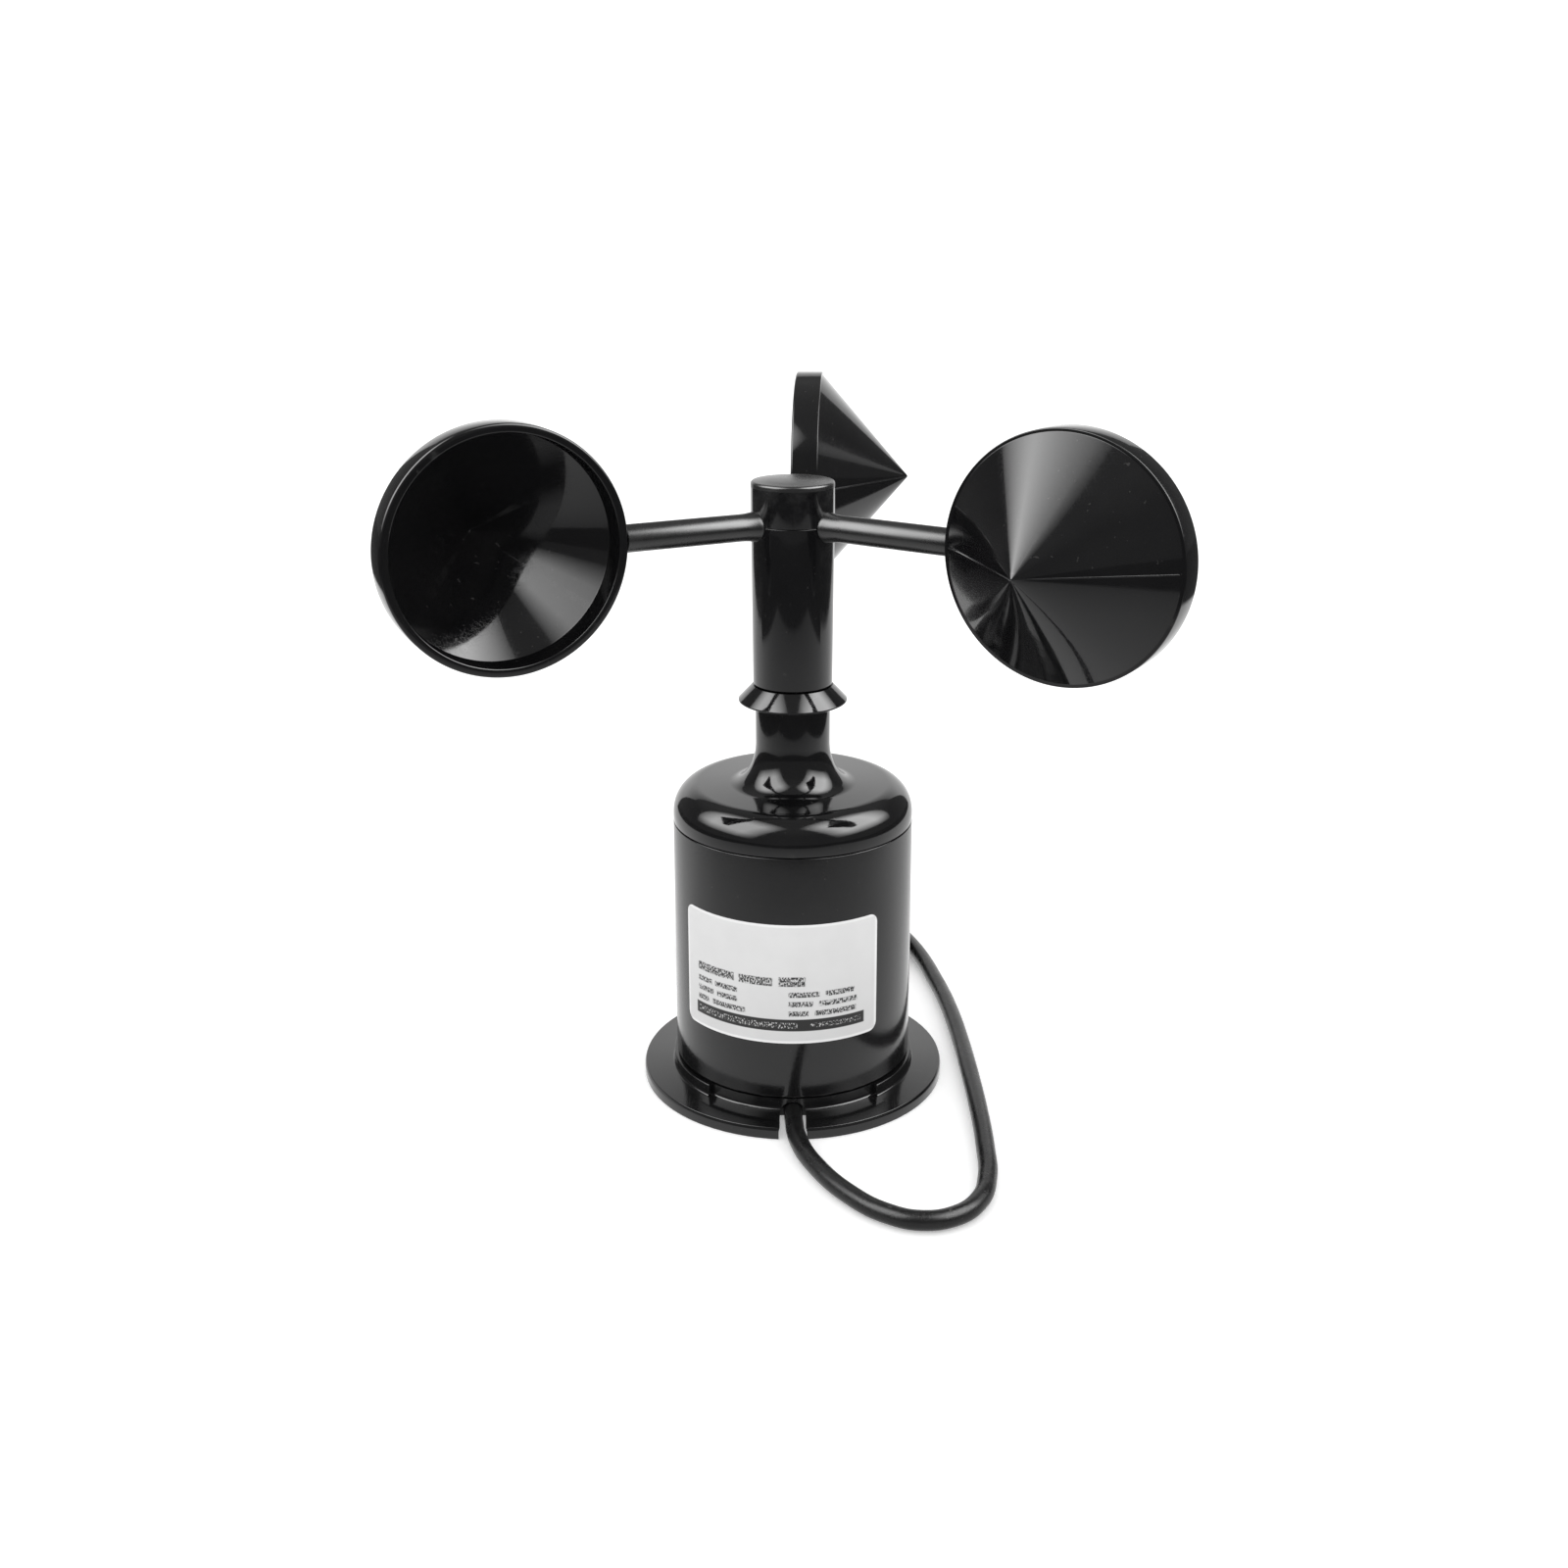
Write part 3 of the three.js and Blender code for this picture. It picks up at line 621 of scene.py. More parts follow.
def makeLead(name, points, radius, sides=6):
    # a smooth round curve through the points
    line = bpy.data.curves.new(name, "CURVE")
    line.dimensions = "3D"
    line.bevel_depth, line.bevel_resolution, line.resolution_u = radius * mm, sides, 8
    line.use_fill_caps = True
    spline = line.splines.new("BEZIER")
    spline.bezier_points.add(len(points) - 1)
    for knot, point in zip(spline.bezier_points, points):
        knot.co = point
        knot.handle_left_type = knot.handle_right_type = "AUTO"
    piece = bpy.data.objects.new(name, line)
    bpy.context.scene.collection.objects.link(piece)
    return piece


cord = makeLead("signal_cable", cableLine, cable["radius"])
settlePiece(cord, "stator", "cable_vinyl", "cable", "cable_coil")
cordLength = sum((b - a).length for a, b in zip(cableLine, cableLine[1:]))
print("cable laid, about", round(cordLength, 3), "m")


# cable ties round the coil
tie = {"angles": (-90, 90), "width": 3.6, "thick": 0.9, "inner": 15.6, "outer": 36.5, "bottom": 1.05, "top": 11.6,
       "rounding": 3.4, "head": (5.2, 5.0, 3.4), "headBack": 9, "headRise": 2.1, "stub": (1.3, 3.2), "stubRise": 3.6}


def makeTie(name, angle):
    t = tie
    corners = [(t["inner"], (t["bottom"] + t["top"]) / 2), (t["inner"], t["top"], t["rounding"]),
               (t["outer"], t["top"], t["rounding"]), (t["outer"], t["bottom"], t["rounding"]),
               (t["inner"], t["bottom"], t["rounding"])]
    piece = drawLine(name, softened(corners + corners[:1]))
    bpy.ops.mesh.extrude_region_move(TRANSFORM_OT_translate={"value": (0, t["width"] * mm, 0)})
    selectAll()
    bpy.ops.transform.translate(value=(0, -t["width"] * mm / 2, 0))
    faceOutward()
    useModifier(piece, "SOLIDIFY", thickness=t["thick"] * mm, offset=1)
    useModifier(piece, "BEVEL", width=0.18 * mm, segments=2, limit_method="ANGLE")
    # the locking head, and the short cut end that comes out of it
    across = t["outer"] - t["headBack"]
    head = roundedBlock(t["head"], 0.7, 4, (across, 0, t["top"] + t["headRise"]))
    stub = roundedBlock((t["stub"][0], t["width"] * 0.92, t["stub"][1]), 0.2, 2, (across, 0, t["top"] + t["stubRise"]))
    joinOn(piece, head, stub)
    smooth(piece)
    standAt(piece, (0, 0, 0), (0, 0, angle))
    return standAt(piece, (0, cable["coilY"], 0))


for index, angle in enumerate(tie["angles"], 1):
    band = makeTie(f"cable_tie_{index}", angle)
    settlePiece(band, "stator", "tie_nylon", f"coil_tie_{index}")


# shrink sleeve and the three stripped leads at the cable's far end
sleeve = {"start": 4, "end": 20, "radius": 2.85, "mouth": 1.9}
leads = {"radius": 0.6, "core": 0.34, "colours": ("red", "black", "blue"), "spread": (1, 0, -1)}


def makeSleeve():
    s = sleeve
    skin = [(-0.1, 0.02), (0, 0.3), (0.03, 3), (-0.06, 5), (0, 7.5), (-0.05, 9.5)]
    line = [(2.52, s["start"])] + [(s["radius"] + out, s["start"] + along) for out, along in skin]
    line += [(2.5, s["start"] + 11.3), (2.15, s["start"] + 12.8), (1.98, s["start"] + 14.2),
             (s["mouth"], s["end"] - 0.15), (s["mouth"] - 0.12, s["end"]), (1.5, s["end"]),
             (1.45, s["end"] - 2), (2.3, s["start"] + 9), (2.52, s["start"] + 4)]
    piece = turned("shrink_sleeve", line, 64, angle=50)
    standAt(piece, (0, 0, 0), (0, 90, 0))
    return standAt(piece, (0, cable["tailY"], cable["tailHeight"]))


shrink = settlePiece(makeSleeve(), "stator", "seal_rubber", "end_sleeve")
leadPieces = []
for colour, side in zip(leads["colours"], leads["spread"]):
    height, start = cable["tailHeight"], sleeve["end"] - 1.6
    rest = cable["highLayer"] + cable["radius"] + leads["radius"] + 0.05
    path = [(start, 0.75 * side, height + (0.4 if side == 0 else -0.3)), (start + 1.6, 0.9 * side, height),
            (start + 3.6, 1.7 * side, height - 0.5), (start + 6.6, 3.0 * side, rest + 0.7),
            (start + 9.6, 4.3 * side, rest + 0.1), (start + 12.0, 5.1 * side, rest)]
    path = [Vector((x, cable["tailY"] + y, z)) * mm for x, y, z in path]
    lead = makeLead(f"lead_{colour}", path, leads["radius"], 4)
    settlePiece(lead, "stator", f"lead_{colour}", f"loose_lead_{colour}")
    onward = (path[-1] - path[-2]).normalized()
    tip = makeLead(f"lead_tip_{colour}", [path[-1] - onward * mm, path[-1] + onward * 1.5 * mm,
                                          path[-1] + onward * 3.4 * mm], leads["core"], 3)
    settlePiece(tip, "stator", "bright_steel", finish=finishes["tinnedCopper"])
    leadPieces += [lead, tip]

print("coil tied and ends stripped")


# base flange
flange = {"radius": 42.3, "thickness": 3.3, "rim": (0.28, 0.8), "plateTop": 4.6, "collar": 33.8, "front": 32.4,
          "collarTop": 6.6, "halfAngle": 43, "slotHalf": 3.75, "slotStraight": 1.9, "slotEnd": -25.8,
          "spigot": 30.2, "bore": 27.3, "spigotTop": 13, "tieReach": 25.4, "tieAngles": (90, 210, 330),
          "insertReach": 15, "insertAngles": (30, 150, 270)}


def archLine(half, bottom, straight, steps=24):
    return [(-half, bottom), (half, bottom)] + curved(0, straight, half, half, 0, 180, steps)


def makeFlange():
    f = flange
    line = softened([
        (0, 0.0), (f["radius"], 0.0, 0.25), (f["radius"], f["thickness"] - f["rim"][1], 0.2),
        (f["radius"] - f["rim"][0], f["thickness"], 0.16), (f["collar"], f["thickness"], 0.7),
        (f["collar"], f["collarTop"], 0.25), (f["spigot"], f["collarTop"]), (f["spigot"], 9), (28.75, 9),
        (28.75, 10.9), (f["spigot"], 10.9), (f["spigot"], f["spigotTop"], 0.3), (f["bore"], f["spigotTop"], 0.3),
        (f["bore"], f["plateTop"], 0.4), (0, f["plateTop"]),
    ], 4)
    piece = turned("base_plate", line, 192, closed=False)
    recess = turned("recess", softened([
        (f["front"], 12), (f["front"], f["thickness"], 0.7), (38.5, f["thickness"]), (38.5, 12)], 4),
        96, sweep=2 * f["halfAngle"])
    spot = sum((v.co for v in recess.data.vertices), Vector()) / len(recess.data.vertices)
    standAt(recess, turn=(0, 0, -90 - math.degrees(math.atan2(spot.y, spot.x))))
    slot = pushed("slot", archLine(f["slotHalf"], -1, f["slotStraight"]), 20)
    standAt(slot, (0, -45.8, 0))
    cutters = [recess, slot]
    for angle in f["tieAngles"]:
        x, y = polar(f["tieReach"], angle)
        for radius, low, high in ((1.9, -1, 20), (3.3, -1, 2.6), (3.7, f["plateTop"], 20)):
            cutters.append(standAt(rod("bore", radius, low, high), (x, y, 0)))
    for angle in f["insertAngles"]:
        x, y = polar(f["insertReach"], angle)
        ring = turned("bore", [(0, -1), (3.2, -1), (2.9, 0.3), (2.9, 3.4), (0, 3.4)], 40, closed=False)
        cutters.append(standAt(ring, (x, y, 0)))
    cutAway(piece, *cutters)
    # soften the slot's mouth
    chooseEdges(piece, lambda a, b: max(abs(a.x), abs(b.x)) < f["slotHalf"] + 0.05 and a.y < -f["radius"] + 0.9
                and b.y < -f["radius"] + 0.9 and min(a.z, b.z) > 0.3 and abs(a.x) > f["slotHalf"] - 0.05)
    bpy.ops.mesh.bevel(offset=0.2 * mm, segments=2, affect="EDGES")
    endEdit()
    return smooth(piece)


settlePiece(makeFlange(), "stator", "satin_black", "base_flange")


# rubber plug in the slot, and the cable's way through it
def makeBushing():
    line = archLine(flange["slotHalf"] - 0.08, 0.2, flange["slotStraight"])
    piece = pushed("cable_grommet", line, 3.7)
    standAt(piece, (0, -29.8, 0))
    hole = rod("hole", cable["radius"] + 0.02, -8, 8, 48)
    standAt(hole, (0, 0, 0), (90, 0, 0))
    standAt(hole, (0, -28, 2.9))
    cutAway(piece, hole)
    useModifier(piece, "BEVEL", width=0.2 * mm, segments=2, limit_method="ANGLE", angle_limit=math.radians(50))
    return smooth(piece)


settlePiece(makeBushing(), "stator", "seal_rubber", "cable_bushing")


# housing: the round body and the top with its neck and bearing tube
housing = {"radius": 33, "wall": 2.5, "bottom": 7.4, "top": 75.8, "gap": 0.3, "shoulder": (26, 78, 7, 8),
           "flare": (17.6, 97.5, 7.45, 11.5), "neckTop": 108.6, "tube": 8.5, "tubeTop": 150.4,
           # reach, angles, radius, bore radius, foot and top of the bore: for the board, then for the tie screws
           "posts": [(21, (30, 150, 270), 2.9, 1.5, 55.9, 66), (25.4, (90, 210, 330), 3.4, 1.8, 70, 81)],
           "postTop": 83.9}


def makeBody():
    h = housing
    inner = h["radius"] - h["wall"]
    line = softened([(inner, (h["bottom"] + h["top"]) / 2), (inner, h["bottom"], 0.15),
                     (h["radius"], h["bottom"], 0.45), (h["radius"], h["top"], 0.22),
                     (inner, h["top"], 0.15), (inner, (h["bottom"] + h["top"]) / 2)], 4)[:-1]
    return turned("housing_shell", line, 192)


def makeTop():
    h = housing
    low = h["top"] + h["gap"]
    outside = softened([(30.2, low), (h["radius"], low, 0.22), (h["radius"], 78)], 3)[:-1]
    outside += curved(*h["shoulder"], 0, 90, 14)
    outside += curved(*h["flare"], -90, -180, 18)
    rest = softened([
        (h["flare"][0] - h["flare"][2], 98), (10.15, h["neckTop"], 0.2), (h["tube"], h["neckTop"]),
        (h["tube"], h["tubeTop"], 0.3), (6.8, h["tubeTop"], 0.2), (6.8, 145.7), (4.6, 145.7), (4.6, 104.5),
        (6.8, 104.5), (6.8, 99.3), (7.5, 99.3), (7.5, 98.1), (6.8, 98.1), (6.8, 83.4), (27.3, 83.4, 0.8),
        (27.3, 69.5, 0.2), (30.2, 69.5, 0.3), (30.2, 71.2), (28.75, 71.2), (28.75, 73.1), (30.2, 73.1),
        (30.2, low)], 3)
    piece = turned("housing_top", outside + rest[:-1], 192, angle=25)
    posts, bores = [], []
    for reach, angles, outer, inner, low, drillTop in h["posts"]:
        for angle in angles:
            x, y = polar(reach, angle)
            posts.append(standAt(rod("post", outer, low, h["postTop"]), (x, y, 0)))
            bores.append(standAt(rod("bore", inner, low - 5, drillTop, 32), (x, y, 0)))
    joinOn(piece, *posts)
    cutAway(piece, *bores)
    return smooth(piece, 25)


def makeSkirt():
    line = softened([
        (8.8, 111), (8.8, 108.9), (10.2, 108.9, 0.15), (10.9, 109.8, 0.3), (14.1, 109.1), (14.76, 109.5, 0.12),
        (14.76, 109.85, 0.12), (10.9, 113.9, 0.1), (8.8, 113.9), (8.8, 111)], 3)[:-1]
    return turned("rain_shield", line, 160, angle=25)


settlePiece(makeBody(), "stator", "satin_black", "housing_body")
settlePiece(makeTop(), "stator", "gloss_black", "top_housing")
settlePiece(makeSkirt(), "stator", "gloss_black", "rain_skirt")
print("base and housing turned")


# rotor: sleeve, hub and cap
rotor = {"turn": -3.4, "armHeight": 158.1, "seam": 158.2, "gap": 0.3, "radius": 11.17, "low": 114.3,
         "lowRadius": 10.76, "seamRadius": 11.1, "wallTop": 168.02, "capTop": 169.6, "plug": 8.8}
arm = {"radius": 3.63, "pin": 2.6, "root": 4.1, "flareEnd": 15.4, "end": 47.7, "angles": (90, 210, 330)}


def socketCutter(angle, radius, start, end):
    ring = standAt(rod("socket", radius, start, end), turn=(0, 90, 0))
    return standAt(ring, (0, 0, rotor["armHeight"]), (0, 0, angle + rotor["turn"]))


def makeRotorSleeve():
    r = rotor
    inner = r["plug"] + r["gap"]
    line = softened([(inner, 130), (inner, r["low"], 0.3), (r["lowRadius"], r["low"], 0.35),
                     (r["seamRadius"], r["seam"], 0.12), (inner, r["seam"]), (inner, 130)], 4)[:-1]
    piece = turned("rotor_tube", line, 160)
    cutAway(piece, *[socketCutter(a, arm["pin"] + 0.2, 6, 14) for a in arm["angles"]])
    return smooth(piece)


def makeHub():
    r = rotor
    low = r["seam"] + 0.18
    line = softened([(2.8, 155), (2.8, 151.9, 0.2), (r["plug"], 151.9, 0.3), (r["plug"], low),
                     (r["radius"], low, 0.12), (r["radius"], r["wallTop"]), (8.7, r["wallTop"]), (8.7, 161.8),
                     (2.8, 161.8), (2.8, 155)], 4)[:-1]
    piece = turned("rotor_head", line, 160)
    cutAway(piece, *[socketCutter(a, arm["pin"] + 0.2, 5.9, 14) for a in arm["angles"]])
    return smooth(piece)


def makeCap():
    r = rotor
    low = r["wallTop"] + 0.04
    line = softened([(0, low), (6.9, low), (6.9, 165.8, 0.2), (8.4, 165.8, 0.2), (8.4, low), (r["radius"], low),
                     (r["radius"], r["capTop"] - 0.1, 0.7), (r["radius"] - 1.6, r["capTop"]), (8, r["capTop"] + 0.2),
                     (6, r["capTop"] + 0.36), (4, r["capTop"] + 0.46), (2, r["capTop"] + 0.52),
                     (0, r["capTop"] + 0.54)], 6)
    return turned("head_cap", line, 160, closed=False)


def makeArm(name, angle):
    a = arm
    rise = a["root"] - a["radius"]
    line = [(0, 9.2), (a["root"] + 0.06, 9.2)]
    line += [(a["radius"] + rise * (1 - step / 8) ** 2, 11 + (a["flareEnd"] - 11) * step / 8) for step in range(9)]
    line += softened([(a["radius"], a["flareEnd"] + 1), (a["radius"], a["end"] + 0.18, 0.1),
                      (2.2, a["end"] + 0.18), (2.2, a["end"] + 2), (0, a["end"] + 2)], 2)
    piece = turned(name, line, 72, closed=False)
    standAt(piece, turn=(0, 90, 0))
    cutAway(piece, rod("wall", rotor["radius"] + 0.06, -9, 9, 160))
    joinOn(piece, standAt(rod("pin", a["pin"], 6.2, 13), turn=(0, 90, 0)))
    smooth(piece)
    return standAt(piece, (0, 0, rotor["armHeight"]), (0, 0, angle + rotor["turn"]))


settlePiece(makeRotorSleeve(), "rotor", "gloss_black", "rotor_sleeve")
settlePiece(makeHub(), "rotor", "gloss_black", "rotor_hub")
settlePiece(makeCap(), "rotor", "gloss_black", "hub_cap", finish=finishes["spokeBlack"])
for index, angle in enumerate(arm["angles"], 1):
    settlePiece(makeArm(f"spoke_{index}", angle), "rotor", "gloss_black", f"arm_{index}",
                finish=finishes["spokeBlack"])
print("rotor head and spokes made")


# the wind cups: one is modelled, then copied round
cup = {"reach": 79.6, "radius": 31.6, "band": 7.9, "cone": 30.7, "height": 34.4, "inside": 29.3, "insideFoot": 6.9,
       "insideTip": 32.1, "setback": 3.6, "ribLength": 39.2, "ribWidth": 0.36, "ribProud": 0.09}


def makeCup():
    c = cup
    slope = (c["height"] - c["band"]) / c["cone"]
    line = [(0, c["insideTip"]), (0.25, c["insideTip"] - 0.16), (2, c["insideTip"] - 1.9)]
    line += softened([(2.1, c["insideTip"] - 2), (c["inside"] - 0.2, c["insideFoot"], 0.5), (c["inside"], 0, 0.35),
                      (c["radius"], 0, 0.6), (c["radius"], c["band"], 0.22), (c["cone"], c["band"], 0.25),
                      (2, c["height"] - 2 * slope)], 4)[1:]
    line += [(0.5, c["height"] - 0.5 * slope), (0.22, c["height"] - 0.27), (0, c["height"] - 0.2)]
    piece = turned("wind_cup_1", line, 224, closed=False, angle=28)
    socket = standAt(rod("socket", 2.3, -c["radius"] - 2, -c["radius"] + 1.9), turn=(0, 90, 0))
    cutAway(piece, standAt(socket, (0, 0, c["setback"])))
    # the moulding line, a fine rib down each side of the cone
    fall = math.atan2(c["height"] - c["band"], c["cone"])
    for turn in (0, 180):
        rib = roundedBlock((c["ribLength"], c["ribWidth"], 0.5), 0.09, 3)
        sunk = c["ribProud"] - 0.25
        middle = (c["cone"] / 2 + sunk * math.sin(fall), 0, (c["height"] + c["band"]) / 2 + sunk * math.cos(fall))
        standAt(rib, middle, (0, math.degrees(fall), 0))
        joinOn(piece, standAt(rib, turn=(0, 0, turn)))
    return smooth(piece, 28)


firstCup = makeCup()
cups = [firstCup, copyOf(firstCup, "wind_cup_2"), copyOf(firstCup, "wind_cup_3")]
for index, (bowl, angle) in enumerate(zip(cups, arm["angles"]), 1):
    standAt(bowl, (cup["reach"], cup["setback"], 0), (90, 0, 0))
    standAt(bowl, (0, 0, rotor["armHeight"]), (0, 0, angle + rotor["turn"]))
    settlePiece(bowl, "rotor", "gloss_black", f"cup_{index}")
print("cups made")


# rating label: a flat sheet with round corners, bent round the body
label = {"width": 58.6, "height": 34.0, "middle": -98.0, "bottom": 23.4, "reach": 33.06, "thick": 0.11, "corner": 2.6,
         "strips": 56}


def makeLabel():
    t = label
    clearSelection()
    bpy.ops.mesh.primitive_plane_add(size=mm, rotation=(math.pi / 2, 0, 0))
    piece = bpy.context.object
    piece.name = piece.data.name = "info_label"
    settleTransform()
    startEdit()
    selectAll()
    bpy.ops.transform.resize(value=(t["width"], 1, t["height"]), center_override=(0, 0, 0))
    bpy.ops.mesh.bevel(offset=t["corner"] * mm, segments=7, affect="VERTICES")
    for k in range(1, t["strips"]):
        x = (k / t["strips"] - 0.5) * t["width"] * mm
        selectAll()
        bpy.ops.mesh.bisect(plane_co=(x, 0, 0), plane_no=(1, 0, 0))
    endEdit()
    # its own flat map, from edge to edge, before it is bent
    flat = piece.data.uv_layers[0]
    flat.name = "labelMap"
    for loop in piece.data.loops:
        spot = piece.data.vertices[loop.vertex_index].co / mm
        flat.data[loop.index].uv = (spot.x / t["width"] + 0.5, spot.z / t["height"] + 0.5)
    for vertex in piece.data.vertices:
        angle = math.radians(t["middle"]) + vertex.co.x / (t["reach"] * mm)
        vertex.co = (t["reach"] * mm * math.cos(angle), t["reach"] * mm * math.sin(angle),
                     vertex.co.z + (t["bottom"] + t["height"] / 2) * mm)
    pickOnly(piece)
    startEdit()
    selectAll()
    faceOutward()
    middle = piece.data.polygons[len(piece.data.polygons) // 2]
    if middle.normal.dot(Vector((middle.center.x, middle.center.y, 0))) < 0:
        piece.data.flip_normals()
    useModifier(piece, "SOLIDIFY", thickness=t["thick"] * mm, offset=1)
    return smooth(piece, 35)


# the printing: a grey field, bars that stand for lines of print, and a dark foot strip
printed = {
    # rows of bars: bottom and top, then the left and right end of each, in parts of the label's height and width
    "rows": [
        (0.485, 0.555, (0.085, 0.30), (0.325, 0.485)), (0.485, 0.565, (0.515, 0.635)),
        (0.392, 0.436, (0.085, 0.175), (0.195, 0.315), (0.56, 0.70), (0.73, 0.87)),
        (0.312, 0.356, (0.085, 0.185), (0.205, 0.315), (0.56, 0.67), (0.70, 0.885)),
        (0.232, 0.276, (0.085, 0.155), (0.18, 0.355), (0.56, 0.65), (0.68, 0.88)),
    ],
    # left, bottom, right and top of the strip and of its two light bars
    "strip": (0.072, 0.105, 0.925, 0.205),
    "inStrip": [(0.09, 0.13, 0.6, 0.177), (0.66, 0.135, 0.905, 0.172)],
    "border": 0.012,
    "field": (0.56, 0.62),     # from the foot of the label to its head
    "edge": 0.73,
    "ink": 0.02,
}


def boxMask(tree, u, v, box, soft=0.004):
    left, bottom, right, top = box
    inside = [remap(tree, u, left - soft, left + soft), remap(tree, u, right - soft, right + soft, 1, 0),
              remap(tree, v, bottom - soft, bottom + soft), remap(tree, v, top - soft, top + soft, 1, 0)]
    mask = inside[0]
    for side in inside[1:]:
        mask = times(tree, mask, side)
    return mask


def makeLabelFilm():
    material, tree, shader = newMaterial("labelFilm")
    t = printed
    place = addNode(tree, "UVMap", uv_map="labelMap").outputs[0]
    u, v, _ = split(tree, place)
    field = boxMask(tree, u, v, (t["border"], t["border"] * 1.7, 1 - t["border"], 1 - t["border"] * 1.7), 0.005)
    paper = mixed(tree, remap(tree, v, 0.0, 1.0), grey(t["field"][0]), grey(t["field"][1]))
    base = useGroup(tree, grainGroup, Colour=mixed(tree, field, grey(t["edge"]), paper), Variation=0.025,
                    Roughness=0.42, Spread=0.05, Cloud_Scale=90.0, Grain_Scale=2500.0)
    ink = None
    for bottom, top, *ends in t["rows"]:
        for left, right in ends:
            mask = boxMask(tree, u, v, (left, bottom, right, top))
            ink = mask if ink is None else maths(tree, "MAXIMUM", ink, mask)
    stretched = addNode(tree, "Mapping", {"Vector": place, "Scale": (150, 42, 1)}).outputs[0]
    stroke = noise(tree, stretched, 1.0, 2, 0.6)
    ink = times(tree, ink, remap(tree, stroke, 0.42, 0.52, 0.1, 1.0))
    colour = mixed(tree, ink, base["Colour"], grey(t["ink"]))
    light = maths(tree, "MAXIMUM", *[boxMask(tree, u, v, box, 0.003) for box in t["inStrip"]])
    light = times(tree, light, remap(tree, stroke, 0.53, 0.6, 0.0, 0.85))
    foot = mixed(tree, light, grey(0.012), grey(0.55))
    colour = mixed(tree, boxMask(tree, u, v, t["strip"], 0.003), colour, foot)
    dusty = useGroup(tree, dustGroup, Colour=colour, Amount=0.12, Roughness=base["Roughness"])
    feed(tree, shader, dusty["Colour"], dusty["Roughness"], base["Height"], 0.000006)
    return material


finishes["labelFilm"] = makeLabelFilm()
settlePiece(makeLabel(), "stator", "label_film", "rating_label")
print("label bent on")


# fixings in the underside
screw = {"head": 2.9, "shank": 1.5, "low": 0.4, "seat": 2.3, "top": 80, "cross": (3.3, 0.75, 1.7)}


def makeTieScrew():
    s = screw
    line = softened([(0, s["low"]), (s["head"], s["low"], 0.5), (s["head"], s["seat"], 0.1), (s["shank"], s["seat"]),
                     (s["shank"], s["top"] - 0.8), (s["shank"] - 0.8, s["top"]), (0, s["top"])], 4)
    piece = turned("long_screw", line, 48, closed=False)
    # a cross recess: two slots pushed in from below
    for turn in (0, 90):
        slot = roundedBlock(s["cross"], 0.12, 2, (0, 0, s["low"] + 0.4))
        cutAway(piece, standAt(slot, (0, 0, 0), (0, 0, turn)))
    return smooth(piece)


def makeInsert():
    line = softened([(1.6, 2), (1.6, 0.5), (1.9, 0.2), (2.4, 0.2, 0.1), (2.6, 0.6), (2.6, 1.2), (2.4, 1.45),
                     (2.4, 1.9), (2.6, 2.1), (2.6, 2.8), (2.4, 3.1), (1.6, 3.1), (1.6, 2)], 2)[:-1]
    return turned("brass_insert", line, 48)


firstScrew, firstInsert = makeTieScrew(), makeInsert()
for index, angle in enumerate(flange["tieAngles"], 1):
    piece = firstScrew if index == 3 else copyOf(firstScrew, "long_screw")
    piece.name = piece.data.name = f"long_screw_{index}"
    x, y = polar(flange["tieReach"], angle)
    standAt(piece, (x, y, 0), (0, 0, angle * 0.7))
    settlePiece(piece, "stator", "bright_steel", f"tie_screw_{index}")
for index, angle in enumerate(flange["insertAngles"], 1):
    piece = firstInsert if index == 3 else copyOf(firstInsert, "brass_insert")
    piece.name = piece.data.name = f"brass_insert_{index}"
    x, y = polar(flange["insertReach"], angle)
    standAt(piece, (x, y, 0))
    settlePiece(piece, "stator", "brass", f"mount_insert_{index}")
print("fixings made")


# floor, studio light and surroundings
studio = {
    "floor": 6.0, "floorColour": 0.9,
    # place from front to back, and brightness there in gloss
    "table": [(-450, 0.05), (-400, 0.42), (-260, 0.58), (-110, 0.8), (60, 1.15)],
    "tableSides": (-400, 388),
    "floorGlow": 0.3,
    "offTable": 0.08,
    "card": {"width": 720, "height": 430, "place": (-20, 490, 215), "low": 1.18, "high": 0.45},
    "boxes": {   # direction and height above level in degrees, distance, width and depth in mm, power in watts
        "leftSoftbox": {"toward": (-70, 41), "away": 680, "size": (980, 830), "power": 19.5},
        "rightSoftbox": {"toward": (74, 43), "away": 680, "size": (980, 820), "power": 23},
    },
    "boxFade": 0.28,
    "world": {"seen": 1.15, "soft": 1.2, "front": 0.2, "back": 0.14, "above": 0.3},
}

clearSelection()
bpy.ops.mesh.primitive_plane_add(size=studio["floor"])
floor = bpy.context.object
floor.name = "studio_floor"


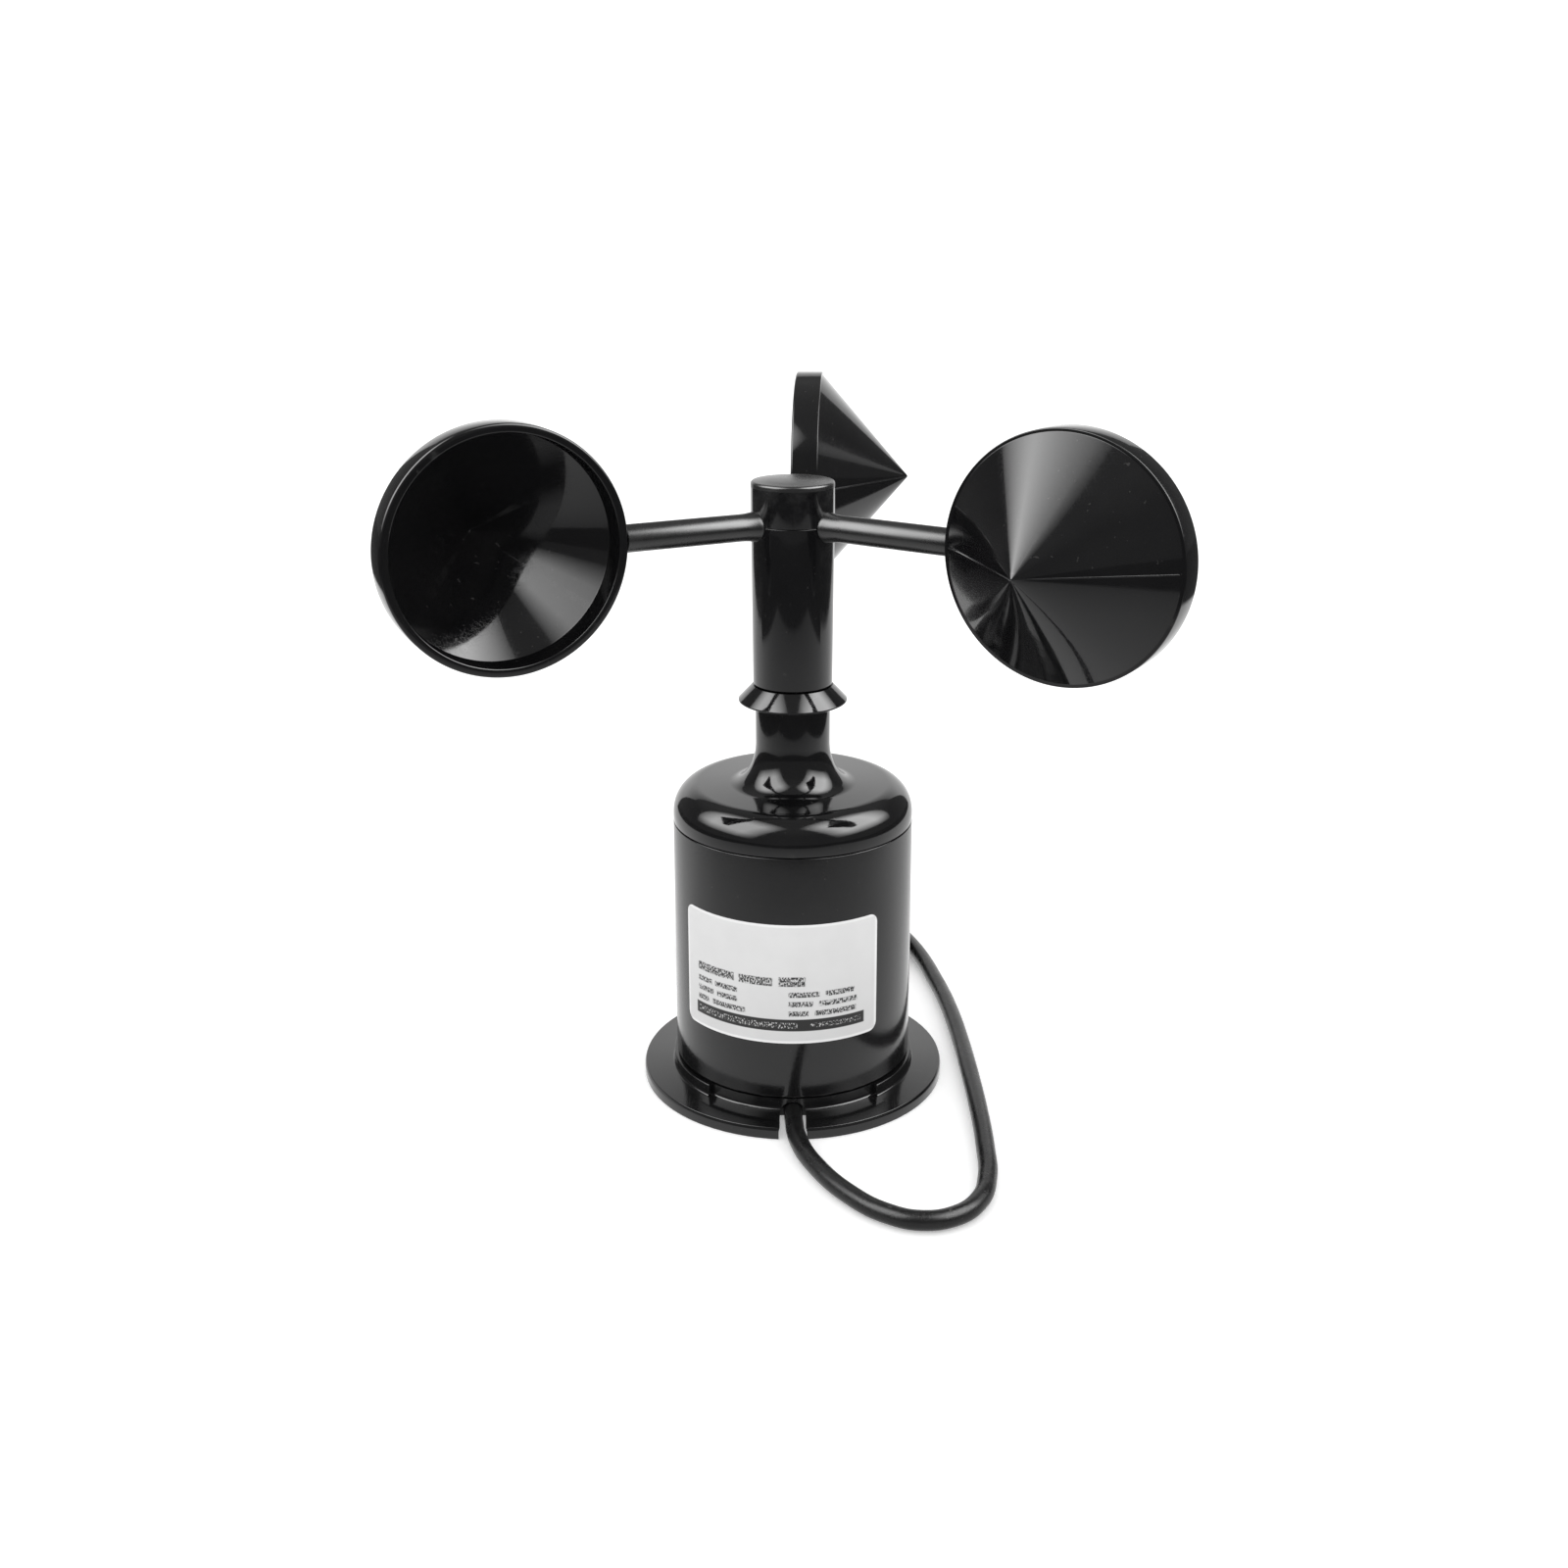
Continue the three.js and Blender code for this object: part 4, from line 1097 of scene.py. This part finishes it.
def makeFloorPaint():
    # white to the eye; in gloss, a pale table with dark room round it
    material, tree, shader = newMaterial("floorPaint")
    ray = addNode(tree, "LightPath").outputs["Is Glossy Ray"]
    tone = useGroup(tree, grainGroup, Colour=grey(studio["floorColour"]), Variation=0.01, Roughness=0.8, Spread=0.02,
                    Cloud_Scale=3.0, Grain_Scale=400.0)
    side, back, _ = split(tree, objectPlace(tree))
    bright = None
    for (y, low), (onward, high) in zip(studio["table"], studio["table"][1:]):
        start = low if bright is None else 0.0
        step = remap(tree, back, y * mm, onward * mm, start, start + high - low)
        bright = step if bright is None else plus(tree, bright, step)
    left, right = studio["tableSides"]
    across = times(tree, remap(tree, side, (left - 15) * mm, (left + 15) * mm),
                   remap(tree, side, (right - 15) * mm, (right + 15) * mm, 1, 0))
    bright = maths(tree, "MAXIMUM", times(tree, bright, across), studio["offTable"])
    feed(tree, shader, mixed(tree, ray, tone["Colour"], grey(0)), tone["Roughness"])
    tree.links.new(mixed(tree, ray, grey(studio["floorGlow"]), greyNode(tree, bright)), shader.inputs["Emission Color"])
    shader.inputs["Emission Strength"].default_value = 1.0
    shader.inputs["Specular IOR Level"].default_value = 0.0
    return material


floor.data.materials.append(makeFloorPaint())


def makeCard():
    # a pale card behind the object that shows only in its gloss
    c = studio["card"]
    clearSelection()
    bpy.ops.mesh.primitive_plane_add(size=mm, location=[v * mm for v in c["place"]], rotation=(math.pi / 2, 0, 0))
    card = bpy.context.object
    card.name = "backCard"
    card.scale = (c["width"], c["height"], 1)
    settleTransform()
    material, tree, shader = newMaterial("cardPaint")
    up = split(tree, objectPlace(tree))[2]
    bright = remap(tree, up, 0.55 * c["height"] * mm, c["height"] * mm, c["low"], c["high"])
    shader.inputs["Base Color"].default_value = grey(0)
    shader.inputs["Emission Strength"].default_value = 1.0
    tree.links.new(greyNode(tree, bright), shader.inputs["Emission Color"])
    card.data.materials.append(material)
    card.visible_camera = card.visible_diffuse = card.visible_shadow = False


def softenEdges(lamp):
    # brightest in the middle and fading to the rim, as a cloth front does
    lamp.use_nodes = True
    tree = lamp.node_tree
    bright = None
    for along in split(tree, addNode(tree, "NewGeometry").outputs["Parametric"])[:2]:
        inward = maths(tree, "SUBTRACT", 0.5, maths(tree, "ABSOLUTE", maths(tree, "SUBTRACT", along, 0.5)))
        fade = remap(tree, inward, 0.0, studio["boxFade"], 0.12, 1.0)
        bright = fade if bright is None else times(tree, bright, fade)
    tree.links.new(bright, tree.nodes["Emission"].inputs["Strength"])


makeCard()
for name, box in studio["boxes"].items():
    turn, rise = (math.radians(v) for v in box["toward"])
    aim = Vector((math.sin(turn) * math.cos(rise), -math.cos(turn) * math.cos(rise), math.sin(rise)))
    bpy.ops.object.light_add(type="AREA", location=Vector((0, 0, 0.12)) + aim * box["away"] * mm,
                             rotation=(math.pi / 2 - rise, 0, turn))
    lamp = bpy.context.object
    lamp.name = name
    lamp.data.shape = "RECTANGLE"
    lamp.data.size, lamp.data.size_y = box["size"][0] * mm, box["size"][1] * mm
    lamp.data.energy = box["power"]
    lamp.visible_camera = lamp.visible_diffuse = False
    softenEdges(lamp.data)


def lightWorld():
    # plain white to the eye and an even soft light; in gloss, a dark room
    w = studio["world"]
    world = bpy.data.worlds.new("studioRoom")
    bpy.context.scene.world = world
    world.use_nodes = True
    tree = world.node_tree
    _, y, z = split(tree, addNode(tree, "TexCoord").outputs["Generated"])
    room = mixed(tree, remap(tree, y, -0.2, 0.3), grey(w["front"]), grey(w["back"]))
    room = mixed(tree, remap(tree, z, 0.5, 0.75), room, grey(w["above"]))
    path = addNode(tree, "LightPath").outputs
    seen = mixed(tree, path["Is Glossy Ray"], grey(w["soft"]), room)
    seen = mixed(tree, path["Is Camera Ray"], seen, grey(w["seen"]))
    tree.links.new(seen, tree.nodes["Background"].inputs["Color"])


lightWorld()
print("studio lit")
